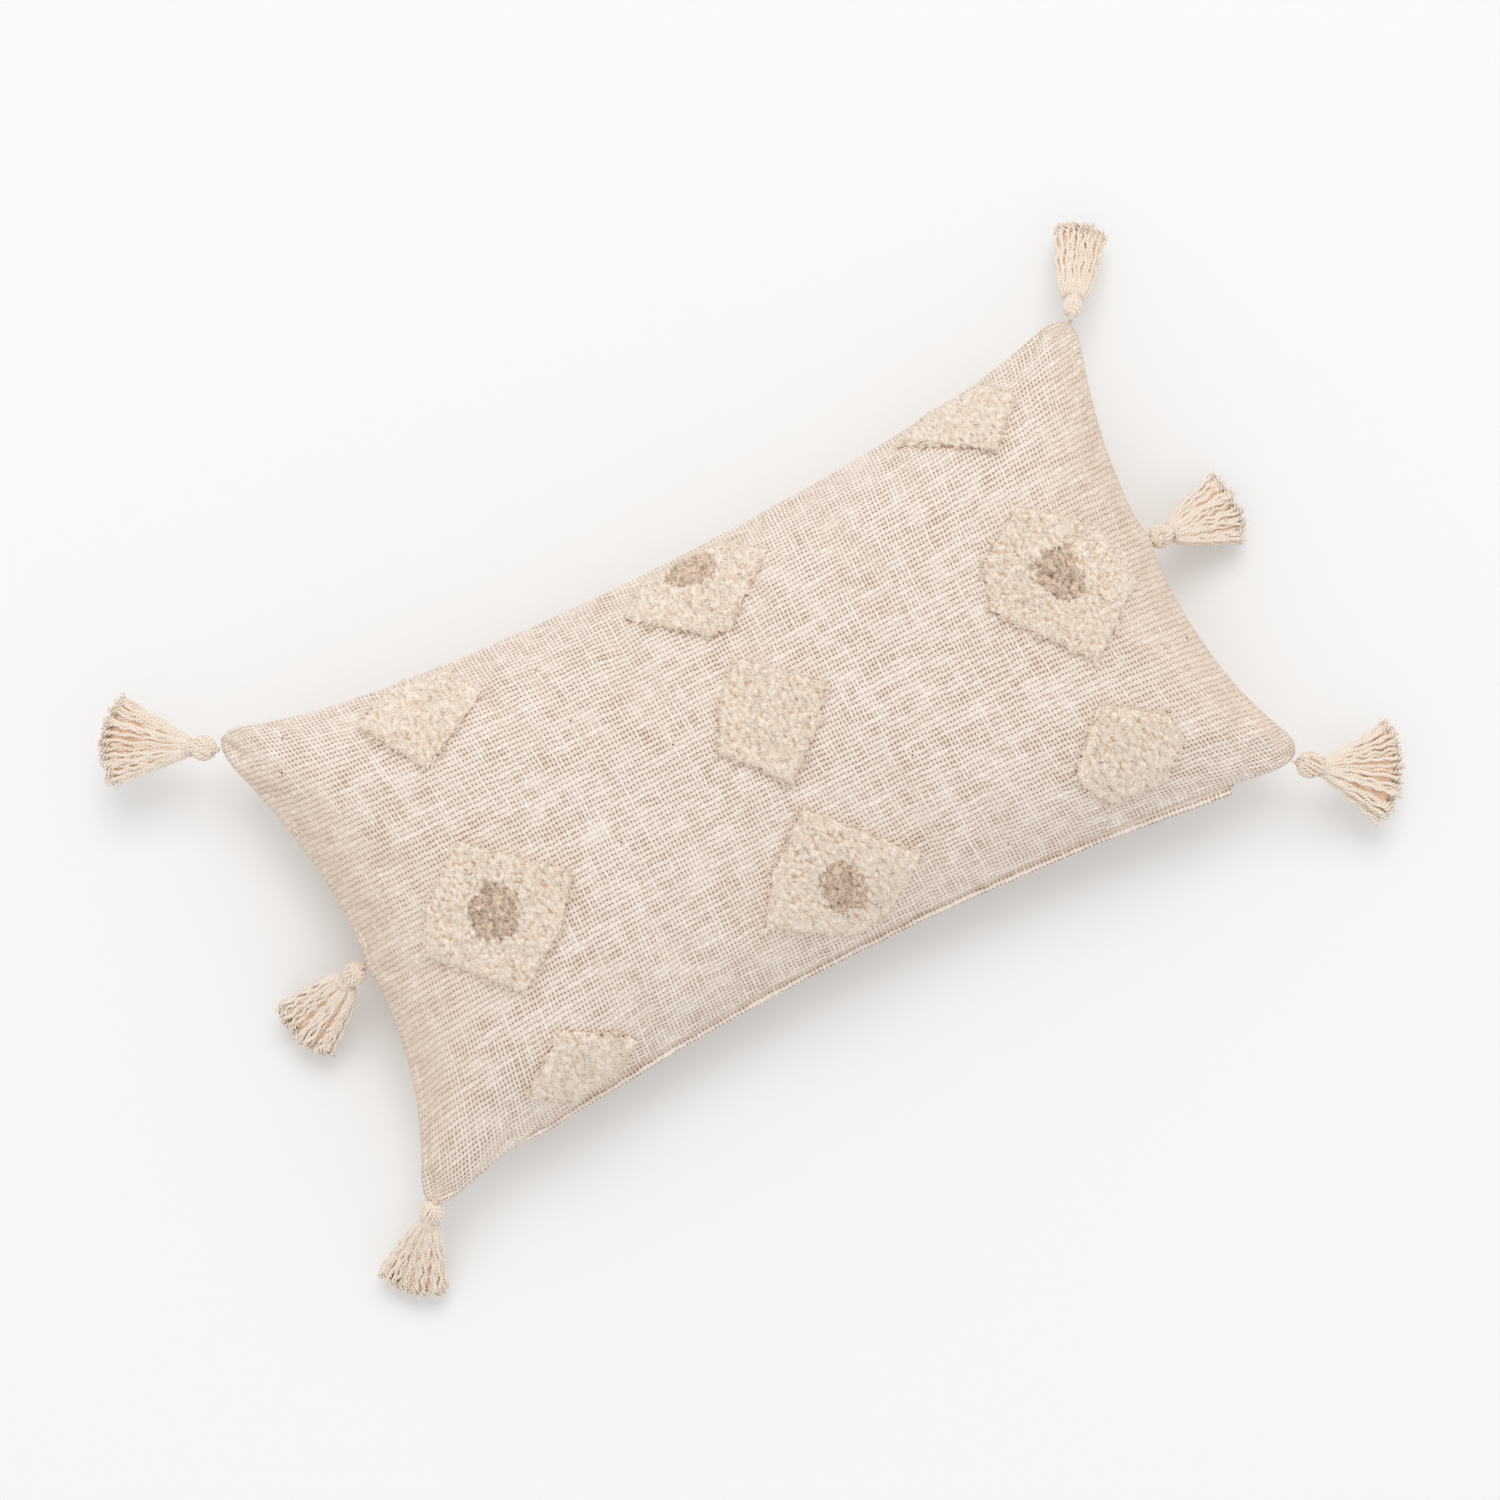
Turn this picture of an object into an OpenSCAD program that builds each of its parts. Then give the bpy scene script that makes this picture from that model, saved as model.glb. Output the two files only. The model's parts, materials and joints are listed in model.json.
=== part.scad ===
// Rectangular throw pillow: a two-panel woven cover with tufted pile motifs, a hidden zip under a folded
// lip along one long side, an insert inside it, and six yarn tassels hanging from the seam by loops.
// +X runs along the pillow, +Y across it and +Z up. The origin is at the middle of the flat underside.

/* [Cover] */
// Distance between the corners along the long side
cover_l = 580; // [500:5:640]
// Distance between the corners along the short side
cover_w = 301; // [270:1:330]
// How far the long sides pull in at their middle
long_pull = 22.5; // [10:0.5:30]
// How far the short sides pull in at their middle
short_pull = 21; // [10:0.5:30]
// Height of the seam above the surface that the pillow lies on
seam_h = 50; // [46:1:54]
// Rise of the front panel above the seam
crown_h = 60; // [50:1:75]
// Depth that the back panel would reach below the seam if nothing held it up
belly_h = 62; // [57:1:70]
// Thickness of the woven cloth
cloth_t = 1.2; // [0.8:0.1:2]

/* [Pile motifs] */
// Height of the tufted pile above the cloth
pile_h = 6; // [3:0.5:10]

/* [Hidden zip] */
// Length of the zip, along the seam
zip_l = 450; // [350:10:460]
// Length of the folded lip over the zip
lip_l = 500; // [470:2:506]
// How far the folded lip stands out of the seam
lip_out = 6; // [4:0.5:8]
// Thickness of the folded lip
lip_t = 2.4; // [1.6:0.1:2.4]
// Distance from the seam's plane down to the middle of the zip's chain
zip_drop = 7.4; // [7:0.1:8]

/* [Insert] */
// Gap in plan between the cover's edge and the insert's edge, where the seam allowances lie
insert_inset = 15; // [14:0.5:20]
// Thickness of the insert's casing
casing_t = 0.5; // [0.4:0.1:1]

/* [Tassels] */
// Length of a tassel from its fold to its yarn ends
tassel_l = 72; // [60:1:73]
// Radius of the round head
head_r = 7.4; // [6:0.1:7.6]
// Radius of the bound neck
neck_r = 5; // [3.5:0.1:5.5]
// Half the thickness of the loop's cord
cord_r = 0.7; // [0.5:0.1:0.8]
// Thickness of the yarn skirt at its ends, seen from the side
skirt_t = 14; // [12:1:16]

/* [Hidden] */
TASSELS = ["rear_right", "right", "front_right", "rear_left", "left", "front_left"];
MOTIFS = concat(
    ["rear_right", "right", "front_right", "rear", "centre", "front"],
    ["rear_left", "left", "front_left"]
);
TASSEL_PIECES = ["loop", "yarns", "binding"];

half_l = cover_l / 2;
half_w = cover_w / 2;
end_power = 4.5;
side_power = 2.5;
running_gap = 0.3;
casing_gap = 1;
zip_rim_drop = 12.4;
zip_rim_s = 0.86;
seam_fn = 720;

// Radius of the arc that pulls in by depth over a side of the given half length
function arc_r(half, depth) = (half * half + depth * depth) / (2 * depth);
// How far such a side is pulled in at distance u from its middle
function pull_at(u, half, depth) = depth - arc_r(half, depth) + sqrt(pow(arc_r(half, depth), 2) - u * u);
// Half width of the pillow along X at t, and along Y at s, where s and t run from -1 to 1
function half_x(t) = half_l - pull_at(half_w * t, half_w, short_pull);
function half_y(s) = half_w - pull_at(half_l * s, half_l, long_pull);
// Share of the full rise at s, t
function swell(s, t) = sqrt(max(0, 1 - pow(abs(s), end_power)) * max(0, 1 - pow(abs(t), side_power)));
// The s, t of a place in plan, found by repeated correction
function place(x, y, turns = 8, s = 0, t = 0) =
    turns == 0 ? [s, t] : let (s1 = x / half_x(t)) place(x, y, turns - 1, s1, y / half_y(s1));
function crown_z(x, y) = let (p = place(x, y)) seam_h + crown_h * swell(p[0], p[1]);
// Point on the cover's top at x, y, moved out by lift along the surface's normal
function on_crown(x, y, lift) =
    let (n = [crown_z(x - 1, y) - crown_z(x + 1, y), crown_z(x, y - 1) - crown_z(x, y + 1), 2])
    [x, y, crown_z(x, y)] + lift * n / norm(n);

long_r = arc_r(half_l, long_pull);
long_centre_y = -(half_w - long_pull) - long_r;
zip_z = seam_h - zip_drop;
zip_angle = asin(zip_l / 2 / long_r);
lip_angle = asin(lip_l / 2 / long_r);

// ---- cloth shells ----

// Steps from -1 to 1 that close up towards both ends
function steps(n) = [for (i = [0:n]) sin(180 * i / n - 90)];

// Where the back panel's zip side ends, as a share of the full half width at s
function zip_edge(s, rim_drop) =
    abs(s) > zip_rim_s || rim_drop == 0 ? 1
    : pow(1 - pow(rim_drop / belly_h, 2) / (1 - pow(abs(s), end_power)), 1 / side_power);

// One skin of points: side is 1 above the seam and -1 below it, plan_in and z_in bring it inwards
function skin(side, ss, ts, plan_in, z_in, rim_drop) = [
    for (s = ss) for (t0 = ts)
        let (
            t = t0 < 0 ? t0 * zip_edge(s, rim_drop) : t0,
            x = s * (half_x(t) - plan_in),
            y = t * (half_y(s) - plan_in),
            rise = (side > 0 ? crown_h : belly_h) - z_in
        )
        [x, y, side > 0 ? seam_h + rise * swell(s, t) : max(z_in, seam_h - rise * swell(s, t))]
];

// Two triangles for the cell between four corners
function cell(a, b, c, d) = [[a, b, c], [a, c, d]];
// A grid's cells, cut by the diagonal that points at the middle, so no triangle lies wholly on the rim
function sheet_faces(ns, nt, base, flip) = [
    for (i = [0:ns - 1]) for (j = [0:nt - 1])
        let (
            a = base + i * (nt + 1) + j,
            b = a + nt + 1,
            four = flip ? [a, b, b + 1, a + 1] : [a, a + 1, b + 1, b],
            turn = (i < ns / 2) == (j < nt / 2) ? 0 : 1
        )
        each cell(four[turn], four[turn + 1], four[turn + 2], four[(turn + 3) % 4])
];
// Indices round the edge of a grid
function rim(ns, nt) = concat(
    [for (i = [0:ns - 1]) i * (nt + 1)],
    [for (j = [0:nt - 1]) ns * (nt + 1) + j],
    [for (i = [ns:-1:1]) i * (nt + 1) + nt],
    [for (j = [nt:-1:1]) j]
);

// A shell of one thickness between the outer skin and the inner one
module shell(side, ns, nt, plan_in, z_in, thick, rim_drop = 0) {
    ss = steps(ns);
    ts = steps(nt);
    count = (ns + 1) * (nt + 1);
    outer = skin(side, ss, ts, plan_in, z_in, rim_drop);
    inner = skin(side, ss, ts, plan_in + thick, z_in + thick, rim_drop);
    edge = rim(ns, nt);
    n = len(edge);
    join = [
        for (k = [0:n - 1])
            let (a = edge[k], b = edge[(k + 1) % n])
            each side > 0 ? cell(a, b, b + count, a + count) : cell(a, a + count, b + count, b)
    ];
    polyhedron(
        concat(outer, inner),
        concat(sheet_faces(ns, nt, 0, side < 0), sheet_faces(ns, nt, count, side > 0), join)
    );
}

// A closed body between the top skin and the bottom skin, which share their rim
module pad(ns, nt, plan_in, z_in) {
    ss = steps(ns);
    ts = steps(nt);
    count = (ns + 1) * (nt + 1);
    top = skin(1, ss, ts, plan_in, z_in, 0);
    bottom = skin(-1, ss, ts, plan_in, z_in, 0);
    edge = rim(ns, nt);
    sealed = [for (k = [0:count - 1]) len(search(k, edge)) > 0 ? k : k + count];
    lower = [for (f = sheet_faces(ns, nt, 0, true)) [for (k = f) sealed[k]]];
    polyhedron(concat(top, bottom), concat(sheet_faces(ns, nt, 0, false), lower));
}

module front_panel() {
    color([0.87, 0.81, 0.74]) shell(1, 28, 16, 0, 0, cloth_t);
}

module back_panel() {
    color([0.87, 0.81, 0.74]) shell(-1, 28, 16, 0, 0, cloth_t, zip_rim_drop);
}

module insert_casing_top() {
    color([0.95, 0.95, 0.93]) shell(1, 20, 12, insert_inset, cloth_t + casing_gap, casing_t);
}

module insert_casing_bottom() {
    color([0.95, 0.95, 0.93]) shell(-1, 20, 12, insert_inset, cloth_t + casing_gap, casing_t);
}

module fibre_fill() {
    past_casing = 1.5 * casing_t;
    color([0.98, 0.98, 0.98]) pad(20, 12, insert_inset + past_casing, cloth_t + casing_gap + past_casing);
}

// ---- pile motifs: a few corners in plan and, for some, a centre spot [x, y, half x, half y] ----

motif_corners = [
    [[161, 127], [209, 95], [236, 121], [222, 137], [182, 134]],
    [[160, 10], [205, -44], [246, -11], [241, 31], [204, 60], [170, 39]],
    [[160, -98], [176, -122], [210, -124], [232, -107], [229, -90], [195, -66]],
    [[-35, 106], [8, 71], [20, 71], [60, 105], [40, 122], [-12, 122]],
    [[-20, 8], [10, -28], [42, -2], [55, 18], [14, 55], [-5, 37]],
    [[-42, -96], [5, -122], [30, -119], [60, -98], [10, -42], [-26, -70]],
    [[-205, 121], [-178, 77], [-130, 104], [-142, 127], [-178, 132]],
    [[-228, -20], [-185, -66], [-148, -42], [-128, -15], [-180, 32], [-215, 5]],
    [[-212, -121], [-190, -135], [-160, -131], [-138, -120], [-178, -93]]
];
spots = [
    undef, [207, 12, 12, 17], undef, [15, 112, 15, 8], undef,
    [10, -93, 14, 14], undef, [-180, -16, 16, 16], undef
];
edge_parts = 3;
pile_base = 0.6;

function mean(list) = [for (k = [0, 1]) [for (p = list) 1] * [for (p = list) p[k]] / len(list)];
// The corners with extra points along every edge
function fine_outline(corners) = [
    for (i = [0:len(corners) - 1]) for (k = [0:edge_parts - 1])
        corners[i] + (corners[(i + 1) % len(corners)] - corners[i]) * k / edge_parts
];
// The spot's outline, at the bearings of the motif's own points
function spot_outline(outline, spot, grow) = [
    for (p = outline)
        let (a = atan2((p[1] - spot[1]) / spot[3], (p[0] - spot[0]) / spot[2]))
        [spot[0] + (spot[2] + grow) * cos(a), spot[1] + (spot[3] + grow) * sin(a)]
];

// A layer of pile between an inner and an outer outline, following the crown
module pile_ring(inner, outer, rings) {
    n = len(outer);
    layer = (rings + 1) * n;
    points = [
        for (lift = [pile_base, pile_base + pile_h]) for (r = [0:rings]) for (i = [0:n - 1])
            let (p = inner[i] + (outer[i] - inner[i]) * r / rings)
            on_crown(p[0], p[1], lift)
    ];
    walls = [
        for (r = [0:rings - 1]) for (i = [0:n - 1])
            let (a = r * n + i, b = r * n + (i + 1) % n)
            each concat(
                cell(a, b, b + n, a + n),
                cell(layer + a, layer + a + n, layer + b + n, layer + b)
            )
    ];
    ends = [
        for (i = [0:n - 1])
            let (k = (i + 1) % n, a = rings * n + i, b = rings * n + k)
            each concat(cell(a, b, layer + b, layer + a), cell(i, layer + i, layer + k, k))
    ];
    polyhedron(points, concat(walls, ends));
}

// A full patch of pile inside one outline
module pile_patch(outline, rings) {
    n = len(outline);
    middle = mean(outline);
    layer = rings * n + 1;
    points = [
        for (lift = [pile_base, pile_base + pile_h]) each concat(
            [on_crown(middle[0], middle[1], lift)],
            [for (r = [1:rings]) for (i = [0:n - 1])
                let (p = middle + (outline[i] - middle) * r / rings) on_crown(p[0], p[1], lift)]
        )
    ];
    fan = [
        for (i = [0:n - 1])
            let (k = (i + 1) % n)
            each [[0, 1 + k, 1 + i], [layer, layer + 1 + i, layer + 1 + k]]
    ];
    bands = rings < 2 ? [] : [
        for (r = [0:rings - 2]) for (i = [0:n - 1])
            let (a = 1 + r * n + i, b = 1 + r * n + (i + 1) % n)
            each concat(
                cell(a, b, b + n, a + n),
                cell(layer + a, layer + a + n, layer + b + n, layer + b)
            )
    ];
    ends = [
        for (i = [0:n - 1])
            let (a = 1 + (rings - 1) * n + i, b = 1 + (rings - 1) * n + (i + 1) % n)
            each cell(a, b, layer + b, layer + a)
    ];
    polyhedron(points, concat(fan, bands, ends));
}

module motif(i) {
    outline = fine_outline(motif_corners[i]);
    color([0.95, 0.91, 0.84])
        if (is_undef(spots[i])) pile_patch(outline, 3);
        else pile_ring(spot_outline(outline, spots[i], running_gap), outline, 3);
}

module motif_centre(i) {
    outline = spot_outline(fine_outline(motif_corners[i]), spots[i], 0);
    color([0.66, 0.58, 0.5]) pile_patch(outline, 1);
}

// ---- hidden zip: every part is a band swept round the far centre of the long side's arc ----

// Sweeps a profile, given as [distance in from the seam line, height], between two bearings
module along_seam(from, to) {
    translate([0, long_centre_y, 0])
        rotate([0, 0, 90 - to])
            rotate_extrude(angle = to - from, $fn = seam_fn)
                translate([long_r, 0])
                    children();
}
module band(from, to, near, far, low, high) {
    along_seam(from, to) translate([near, low]) square([far - near, high - low]);
}

chain_t = 2;
coil_w = 1.9;
coil_gap = 0.2;
tape_t = 0.6;
tape_near = 1.6;
tape_far = 13;
slider_l = 9;
slider_half = 3.6;
slider_bearing = zip_angle - 0.5;
mm_bearing = 180 / (PI * long_r);

module zip_lip() {
    color([0.87, 0.81, 0.74]) band(-lip_angle, lip_angle, -lip_out, cloth_t, seam_h - lip_t, seam_h);
}

module zip_tape_upper() {
    color([0.9, 0.87, 0.8])
        along_seam(-zip_angle - 0.2, zip_angle + 0.2)
            polygon([
                [tape_near, zip_z + coil_w], [tape_near, seam_h - 0.4], [tape_far, seam_h - 0.4],
                [tape_far, seam_h - 0.4 - tape_t], [tape_near + tape_t, seam_h - 0.4 - tape_t],
                [tape_near + tape_t, zip_z + coil_w]
            ]);
}

module zip_tape_lower() {
    shelf = seam_h - zip_rim_drop + 0.2;
    color([0.9, 0.87, 0.8])
        along_seam(-zip_angle - 0.2, zip_angle + 0.2)
            polygon([
                [tape_near, zip_z - coil_w], [tape_near, shelf], [tape_far, shelf],
                [tape_far, shelf + tape_t], [tape_near + tape_t, shelf + tape_t],
                [tape_near + tape_t, zip_z - coil_w]
            ]);
}

// One side's coil, from low upwards
module coil(low) {
    far = tape_near - 0.2;
    color([0.93, 0.9, 0.84]) band(-zip_angle, zip_angle, far - chain_t, far, low, low + coil_w);
}

module zip_coil_upper() {
    coil(zip_z + coil_gap / 2);
}

module zip_coil_lower() {
    coil(zip_z - coil_gap / 2 - coil_w);
}

// A block across both coils just past their end
module stop(side) {
    from = zip_angle + 0.2 * mm_bearing;
    to = from + 3 * mm_bearing;
    low = zip_z - coil_w - 0.5;
    high = zip_z + coil_w + 0.5;
    color([0.75, 0.74, 0.72])
        if (side > 0) band(from, to, -chain_t / 2, tape_near - 0.1, low, high);
        else band(-to, -from, -chain_t / 2, tape_near - 0.1, low, high);
}

module zip_top_stop() {
    stop(1);
}

module zip_bottom_stop() {
    stop(-1);
}

plate_near = -2.7;
plate_far = -1.1;
flange_far = 1.2;
post_w = 0.8;
pin_r = 0.6;
pin_near = -4.2;
tab_half = 1.7;
tab_t = 0.9;
tab_l = 16;
half_bearing = slider_l / 2 * mm_bearing;
pin_x = long_r * sin(slider_bearing);
pin_y = long_centre_y + (long_r + pin_near) * cos(slider_bearing);

// Plate over the chain with a flange along each side, and two posts that hold the pull's pin
module zip_slider() {
    from = slider_bearing - half_bearing;
    to = slider_bearing + half_bearing;
    color([0.72, 0.7, 0.68]) {
        band(from, to, plate_near, plate_far, zip_z - slider_half, zip_z + slider_half);
        for (side = [-1, 1])
            translate([0, 0, zip_z + side * (slider_half - post_w / 2)])
                translate([0, 0, -post_w / 2]) {
                    band(from, to, plate_near, flange_far, 0, post_w);
                    post_block();
                }
        translate([pin_x, pin_y, zip_z - slider_half]) cylinder(h = 2 * slider_half, r = pin_r, $fn = 32);
    }
}

module post_block() {
    tip = 1.1 * mm_bearing;
    band(slider_bearing - tip, slider_bearing + tip, pin_near - 1.1, plate_near, 0, post_w);
}

// Flat tab with an eye round the slider's pin, lying along the chain
module zip_pull() {
    color([0.72, 0.7, 0.68])
        translate([pin_x, pin_y, zip_z - tab_half])
            rotate([0, 0, 180 - slider_bearing])
                difference() {
                    union() {
                        cylinder(h = 2 * tab_half, r = 1.35, $fn = 48);
                        translate([0, -tab_t / 2, 0]) cube([tab_l, tab_t, 2 * tab_half]);
                    }
                    translate([0, 0, -1]) cylinder(h = 2 * tab_half + 2, r = pin_r + 0.1, $fn = 48);
                }
}

// ---- tassels: [x, y, bearing in plan, droop below level, half width of the skirt's end] ----

tassel_places = [
    [half_l, half_w, 55, 30, 17],
    [half_l - short_pull, 9, -2, 32, 26],
    [half_l, -half_w, -36, 24, 28],
    [-half_l, half_w, 148, 8, 29],
    [-(half_l - short_pull), -7, 198, 34, 23],
    [-half_l, -half_w, 226, 36, 24]
];
apex_out = 1.25;
bow_out = 6.4;
bow_half = 2.7;
knuckle_r = 2.3;
knuckle_w = 3;
strap_half = 2;
strap_l = 5;
head_at = 9.2;
neck_at = 18.8;
neck_run = 2;
binding_l = 3.6;
binding_t = 1.1;

// Outline of the cord's loop in its own plane, from its round turn at the seam to the bow
// that the yarns hang on
module loop_outline() {
    shoulder = 1.9;
    hole_shoulder = 2.5;
    hole_end = bow_out - apex_out - cord_r;
    outside = bow_half + cord_r;
    inside = bow_half - cord_r;
    difference() {
        union() {
            circle(r = cord_r, $fn = 32);
            polygon([
                [-0.2, 0.5], [shoulder, outside], [hole_end + 2 * cord_r, outside],
                [hole_end + 2 * cord_r, -outside], [shoulder, -outside], [-0.2, -0.5]
            ]);
        }
        polygon([
            [1, 0], [hole_shoulder, inside], [hole_end, inside],
            [hole_end, -inside], [hole_shoulder, -inside]
        ]);
    }
}

module loop(i) {
    place = tassel_places[i];
    color([0.94, 0.89, 0.82])
        translate([place[0], place[1], seam_h])
            rotate([0, 0, place[2]])
                translate([apex_out, 0, -cord_r])
                    linear_extrude(height = 2 * cord_r) loop_outline();
}

// Puts its children in a tassel's own frame: the bow is the origin and +X runs down the tassel
module at_bow(i) {
    place = tassel_places[i];
    translate([place[0], place[1], seam_h])
        rotate([0, 0, place[2]])
            translate([bow_out, 0, 0])
                rotate([0, place[3], 0])
                    children();
}

// Outline of the fanned skirt from above, with its ends on an arc
function fan_outline(half) =
    let (reach = tassel_l - neck_at, spread = asin(half / reach))
    concat(
        [[neck_at, -neck_r + 0.4]],
        [for (k = [-4:4]) [neck_at + reach * cos(spread * k / 4), reach * sin(spread * k / 4)]],
        [[neck_at, neck_r - 0.4]]
    );

// The round head and the neck under it, turned about the tassel's own axis
module head() {
    rotate([0, 90, 0])
        rotate_extrude($fn = 96)
            union() {
                intersection() {
                    translate([0, head_at]) circle(r = head_r, $fn = 96);
                    translate([0, head_at - head_r]) square([head_r, 2 * head_r]);
                }
                translate([0, head_at]) square([neck_r, neck_at + neck_run - head_at]);
            }
}

// Yarns folded over the bow: the fold, the round head, the neck and the fanned skirt
module yarns(i) {
    color([0.95, 0.9, 0.83])
        at_bow(i)
            difference() {
                union() {
                    rotate([90, 0, 0]) cylinder(h = knuckle_w, r = knuckle_r, center = true, $fn = 48);
                    translate([0, -knuckle_w / 2, -strap_half])
                        cube([strap_l, knuckle_w, 2 * strap_half]);
                    head();
                    skirt(tassel_places[i][4]);
                }
                rotate([90, 0, 0])
                    cylinder(h = 2 * knuckle_w, r = 1.85 * cord_r, center = true, $fn = 48);
            }
}

module skirt(half) {
    intersection() {
        translate([0, 0, -skirt_t]) linear_extrude(height = 2 * skirt_t) polygon(fan_outline(half));
        rotate([90, 0, 0])
            linear_extrude(height = 4 * half, center = true)
                polygon([
                    [neck_at, -neck_r + 0.5], [tassel_l + 1, -skirt_t / 2],
                    [tassel_l + 1, skirt_t / 2], [neck_at, neck_r - 0.5]
                ]);
    }
}

// Thread wound round the neck between the head and the skirt
module binding(i) {
    color([0.92, 0.86, 0.78])
        at_bow(i)
            translate([neck_at - running_gap - binding_l, 0, 0])
                rotate([0, 90, 0])
                    rotate_extrude($fn = 64)
                        translate([neck_r + 0.15, 0]) square([binding_t, binding_l]);
}

front_panel();
back_panel();
zip_lip();
zip_tape_upper();
zip_tape_lower();
zip_coil_upper();
zip_coil_lower();
zip_slider();
zip_pull();
zip_top_stop();
zip_bottom_stop();
insert_casing_top();
insert_casing_bottom();
fibre_fill();
for (i = [0:len(MOTIFS) - 1]) {
    motif(i);
    if (!is_undef(spots[i]))
        motif_centre(i);
}
for (i = [0:len(TASSELS) - 1]) {
    loop(i);
    yarns(i);
    binding(i);
}
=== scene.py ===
"""Looks of a rectangular throw pillow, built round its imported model: woven cover, tufted pile motifs,
folded lip and zip, insert, and six yarn tassels. Lengths are in metres."""

import json
import math

import bmesh
import bpy
import numpy as np
from mathutils import Matrix, Vector


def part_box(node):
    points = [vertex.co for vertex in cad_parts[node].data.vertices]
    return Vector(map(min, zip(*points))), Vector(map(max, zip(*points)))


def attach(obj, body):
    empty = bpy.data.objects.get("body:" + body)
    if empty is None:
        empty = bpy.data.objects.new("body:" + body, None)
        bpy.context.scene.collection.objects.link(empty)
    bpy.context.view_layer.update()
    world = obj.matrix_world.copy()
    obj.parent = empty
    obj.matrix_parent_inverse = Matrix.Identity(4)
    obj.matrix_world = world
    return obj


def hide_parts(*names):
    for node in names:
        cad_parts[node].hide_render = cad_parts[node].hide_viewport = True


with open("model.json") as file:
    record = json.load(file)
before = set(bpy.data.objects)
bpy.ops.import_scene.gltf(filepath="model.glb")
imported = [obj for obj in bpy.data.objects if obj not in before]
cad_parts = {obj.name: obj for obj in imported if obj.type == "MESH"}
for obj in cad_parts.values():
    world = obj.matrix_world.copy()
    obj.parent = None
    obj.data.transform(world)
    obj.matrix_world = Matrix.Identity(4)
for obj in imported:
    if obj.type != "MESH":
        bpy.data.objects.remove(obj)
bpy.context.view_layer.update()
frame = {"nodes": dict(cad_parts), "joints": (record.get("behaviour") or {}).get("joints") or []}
joints = {joint["name"]: joint for joint in frame["joints"]}

MM = 0.001

# ---- the pillow's form, as the CAD model has it ----
SEAM_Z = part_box("front_panel")[0].z
HALF_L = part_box("front_panel")[1].x
HALF_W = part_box("front_panel")[1].y
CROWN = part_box("front_panel")[1].z - SEAM_Z
BELLY = 62 * MM
LONG_PULL = 22.5 * MM
SHORT_PULL = 21 * MM
END_POWER = 4.5
SIDE_POWER = 2.5
CLOTH_T = 1.2 * MM
ZIP_RIM_DROP = 12.4 * MM
TAPE_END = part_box("zip_tape_lower")[1].x
# Where the cover closes past the zip, before its corners are drawn out, and over what length
ZIP_END = TAPE_END - 3 * MM
ZIP_CLOSE = 5 * MM
CORNER_R = 27 * MM
# How far each corner is drawn out along x and y, by the corner's signs
CORNER_DRAWN = {
    (-1, -1): (15 * MM, 11 * MM), (1, -1): (12 * MM, 3 * MM),
    (-1, 1): (4 * MM, 12 * MM), (1, 1): (7 * MM, 9 * MM),
}
# The same for the short sides, at their tassels
SIDE_DRAWN = 3 * MM
SIDE_DRAWN_REACH = 14 * MM
# The left side curves in more than the right one
LEFT_DRAWN_IN = 6 * MM
SIDE_TASSEL_Y = {-1: joints["sway_left"]["pos_m"][1], 1: joints["sway_right"]["pos_m"][1]}

# ---- the cloth's own grid: two cells to a thread each way ----
CELLS_U = 480
CELLS_V = 192
WEAVE_HEIGHT = 0.22 * MM
BACKING_STEP = 4

# ---- the view ----
VIEW_WIDTH = 0.906
CAMERA_DISTANCE = 2.4
CAMERA_TILT = math.radians(3)
TURN = math.radians(26.73)
RIGHT = Vector((math.cos(TURN), -math.sin(TURN), 0))
UP = Vector((math.sin(TURN), math.cos(TURN), 0))
AIM_RIGHT = -3.3 * MM
AIM_UP = 3.6 * MM


# ================================================================ camera, light and floor

def put(name, data):
    """An object for some data, in the scene."""
    thing = bpy.data.objects.new(name, data)
    bpy.context.scene.collection.objects.link(thing)
    return thing


def make_camera():
    """Looks almost straight down, with the pillow lying at an angle across the picture."""
    data = bpy.data.cameras.new("camera")
    data.sensor_width = 36
    data.lens = 36 * CAMERA_DISTANCE / VIEW_WIDTH
    data.clip_start = 0.05
    data.clip_end = 50
    camera = put("camera", data)
    back = Vector((0, 0, math.cos(CAMERA_TILT))) - UP * math.sin(CAMERA_TILT)
    aim = Vector((0, 0, SEAM_Z)) + RIGHT * AIM_RIGHT + UP * AIM_UP
    top = back.cross(RIGHT)
    camera.matrix_world = Matrix.Translation(aim + back * CAMERA_DISTANCE) @ Matrix(
        [[RIGHT[k], top[k], back[k], 0] for k in range(3)] + [[0, 0, 0, 1]]
    )
    bpy.context.scene.camera = camera


def make_light(name, direction, distance, size, power):
    """A square soft light that faces the pillow from a direction."""
    data = bpy.data.lights.new(name, "AREA")
    data.size = size
    data.energy = power
    place = Vector((0, 0, SEAM_Z)) + direction.normalized() * distance
    turned = direction.to_track_quat("Z", "Y").to_matrix().to_4x4()
    put(name, data).matrix_world = Matrix.Translation(place) @ turned


def make_studio():
    """Pale floor, even surroundings and one large soft light beyond the picture's top edge."""
    scene = bpy.context.scene
    scene.view_settings.view_transform = "Standard"
    scene.world = bpy.data.worlds.new("studio")
    scene.world.use_nodes = True
    sky = scene.world.node_tree.nodes["Background"]
    sky.inputs["Color"].default_value = (1, 1, 1, 1)
    sky.inputs["Strength"].default_value = 0.78
    beyond_top = UP * 0.62 + RIGHT * 0.03 + Vector((0, 0, 1))
    make_light("key", beyond_top, distance=8, size=4.4, power=172)
    bpy.ops.mesh.primitive_plane_add(size=12, location=(0, 0, -0.2 * MM))
    floor = bpy.context.object
    floor.name = "floor"
    floor.data.materials.append(Graph("floor_paper").finish((0.955, 0.955, 0.955), 0.9))


# ================================================================ materials

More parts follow.
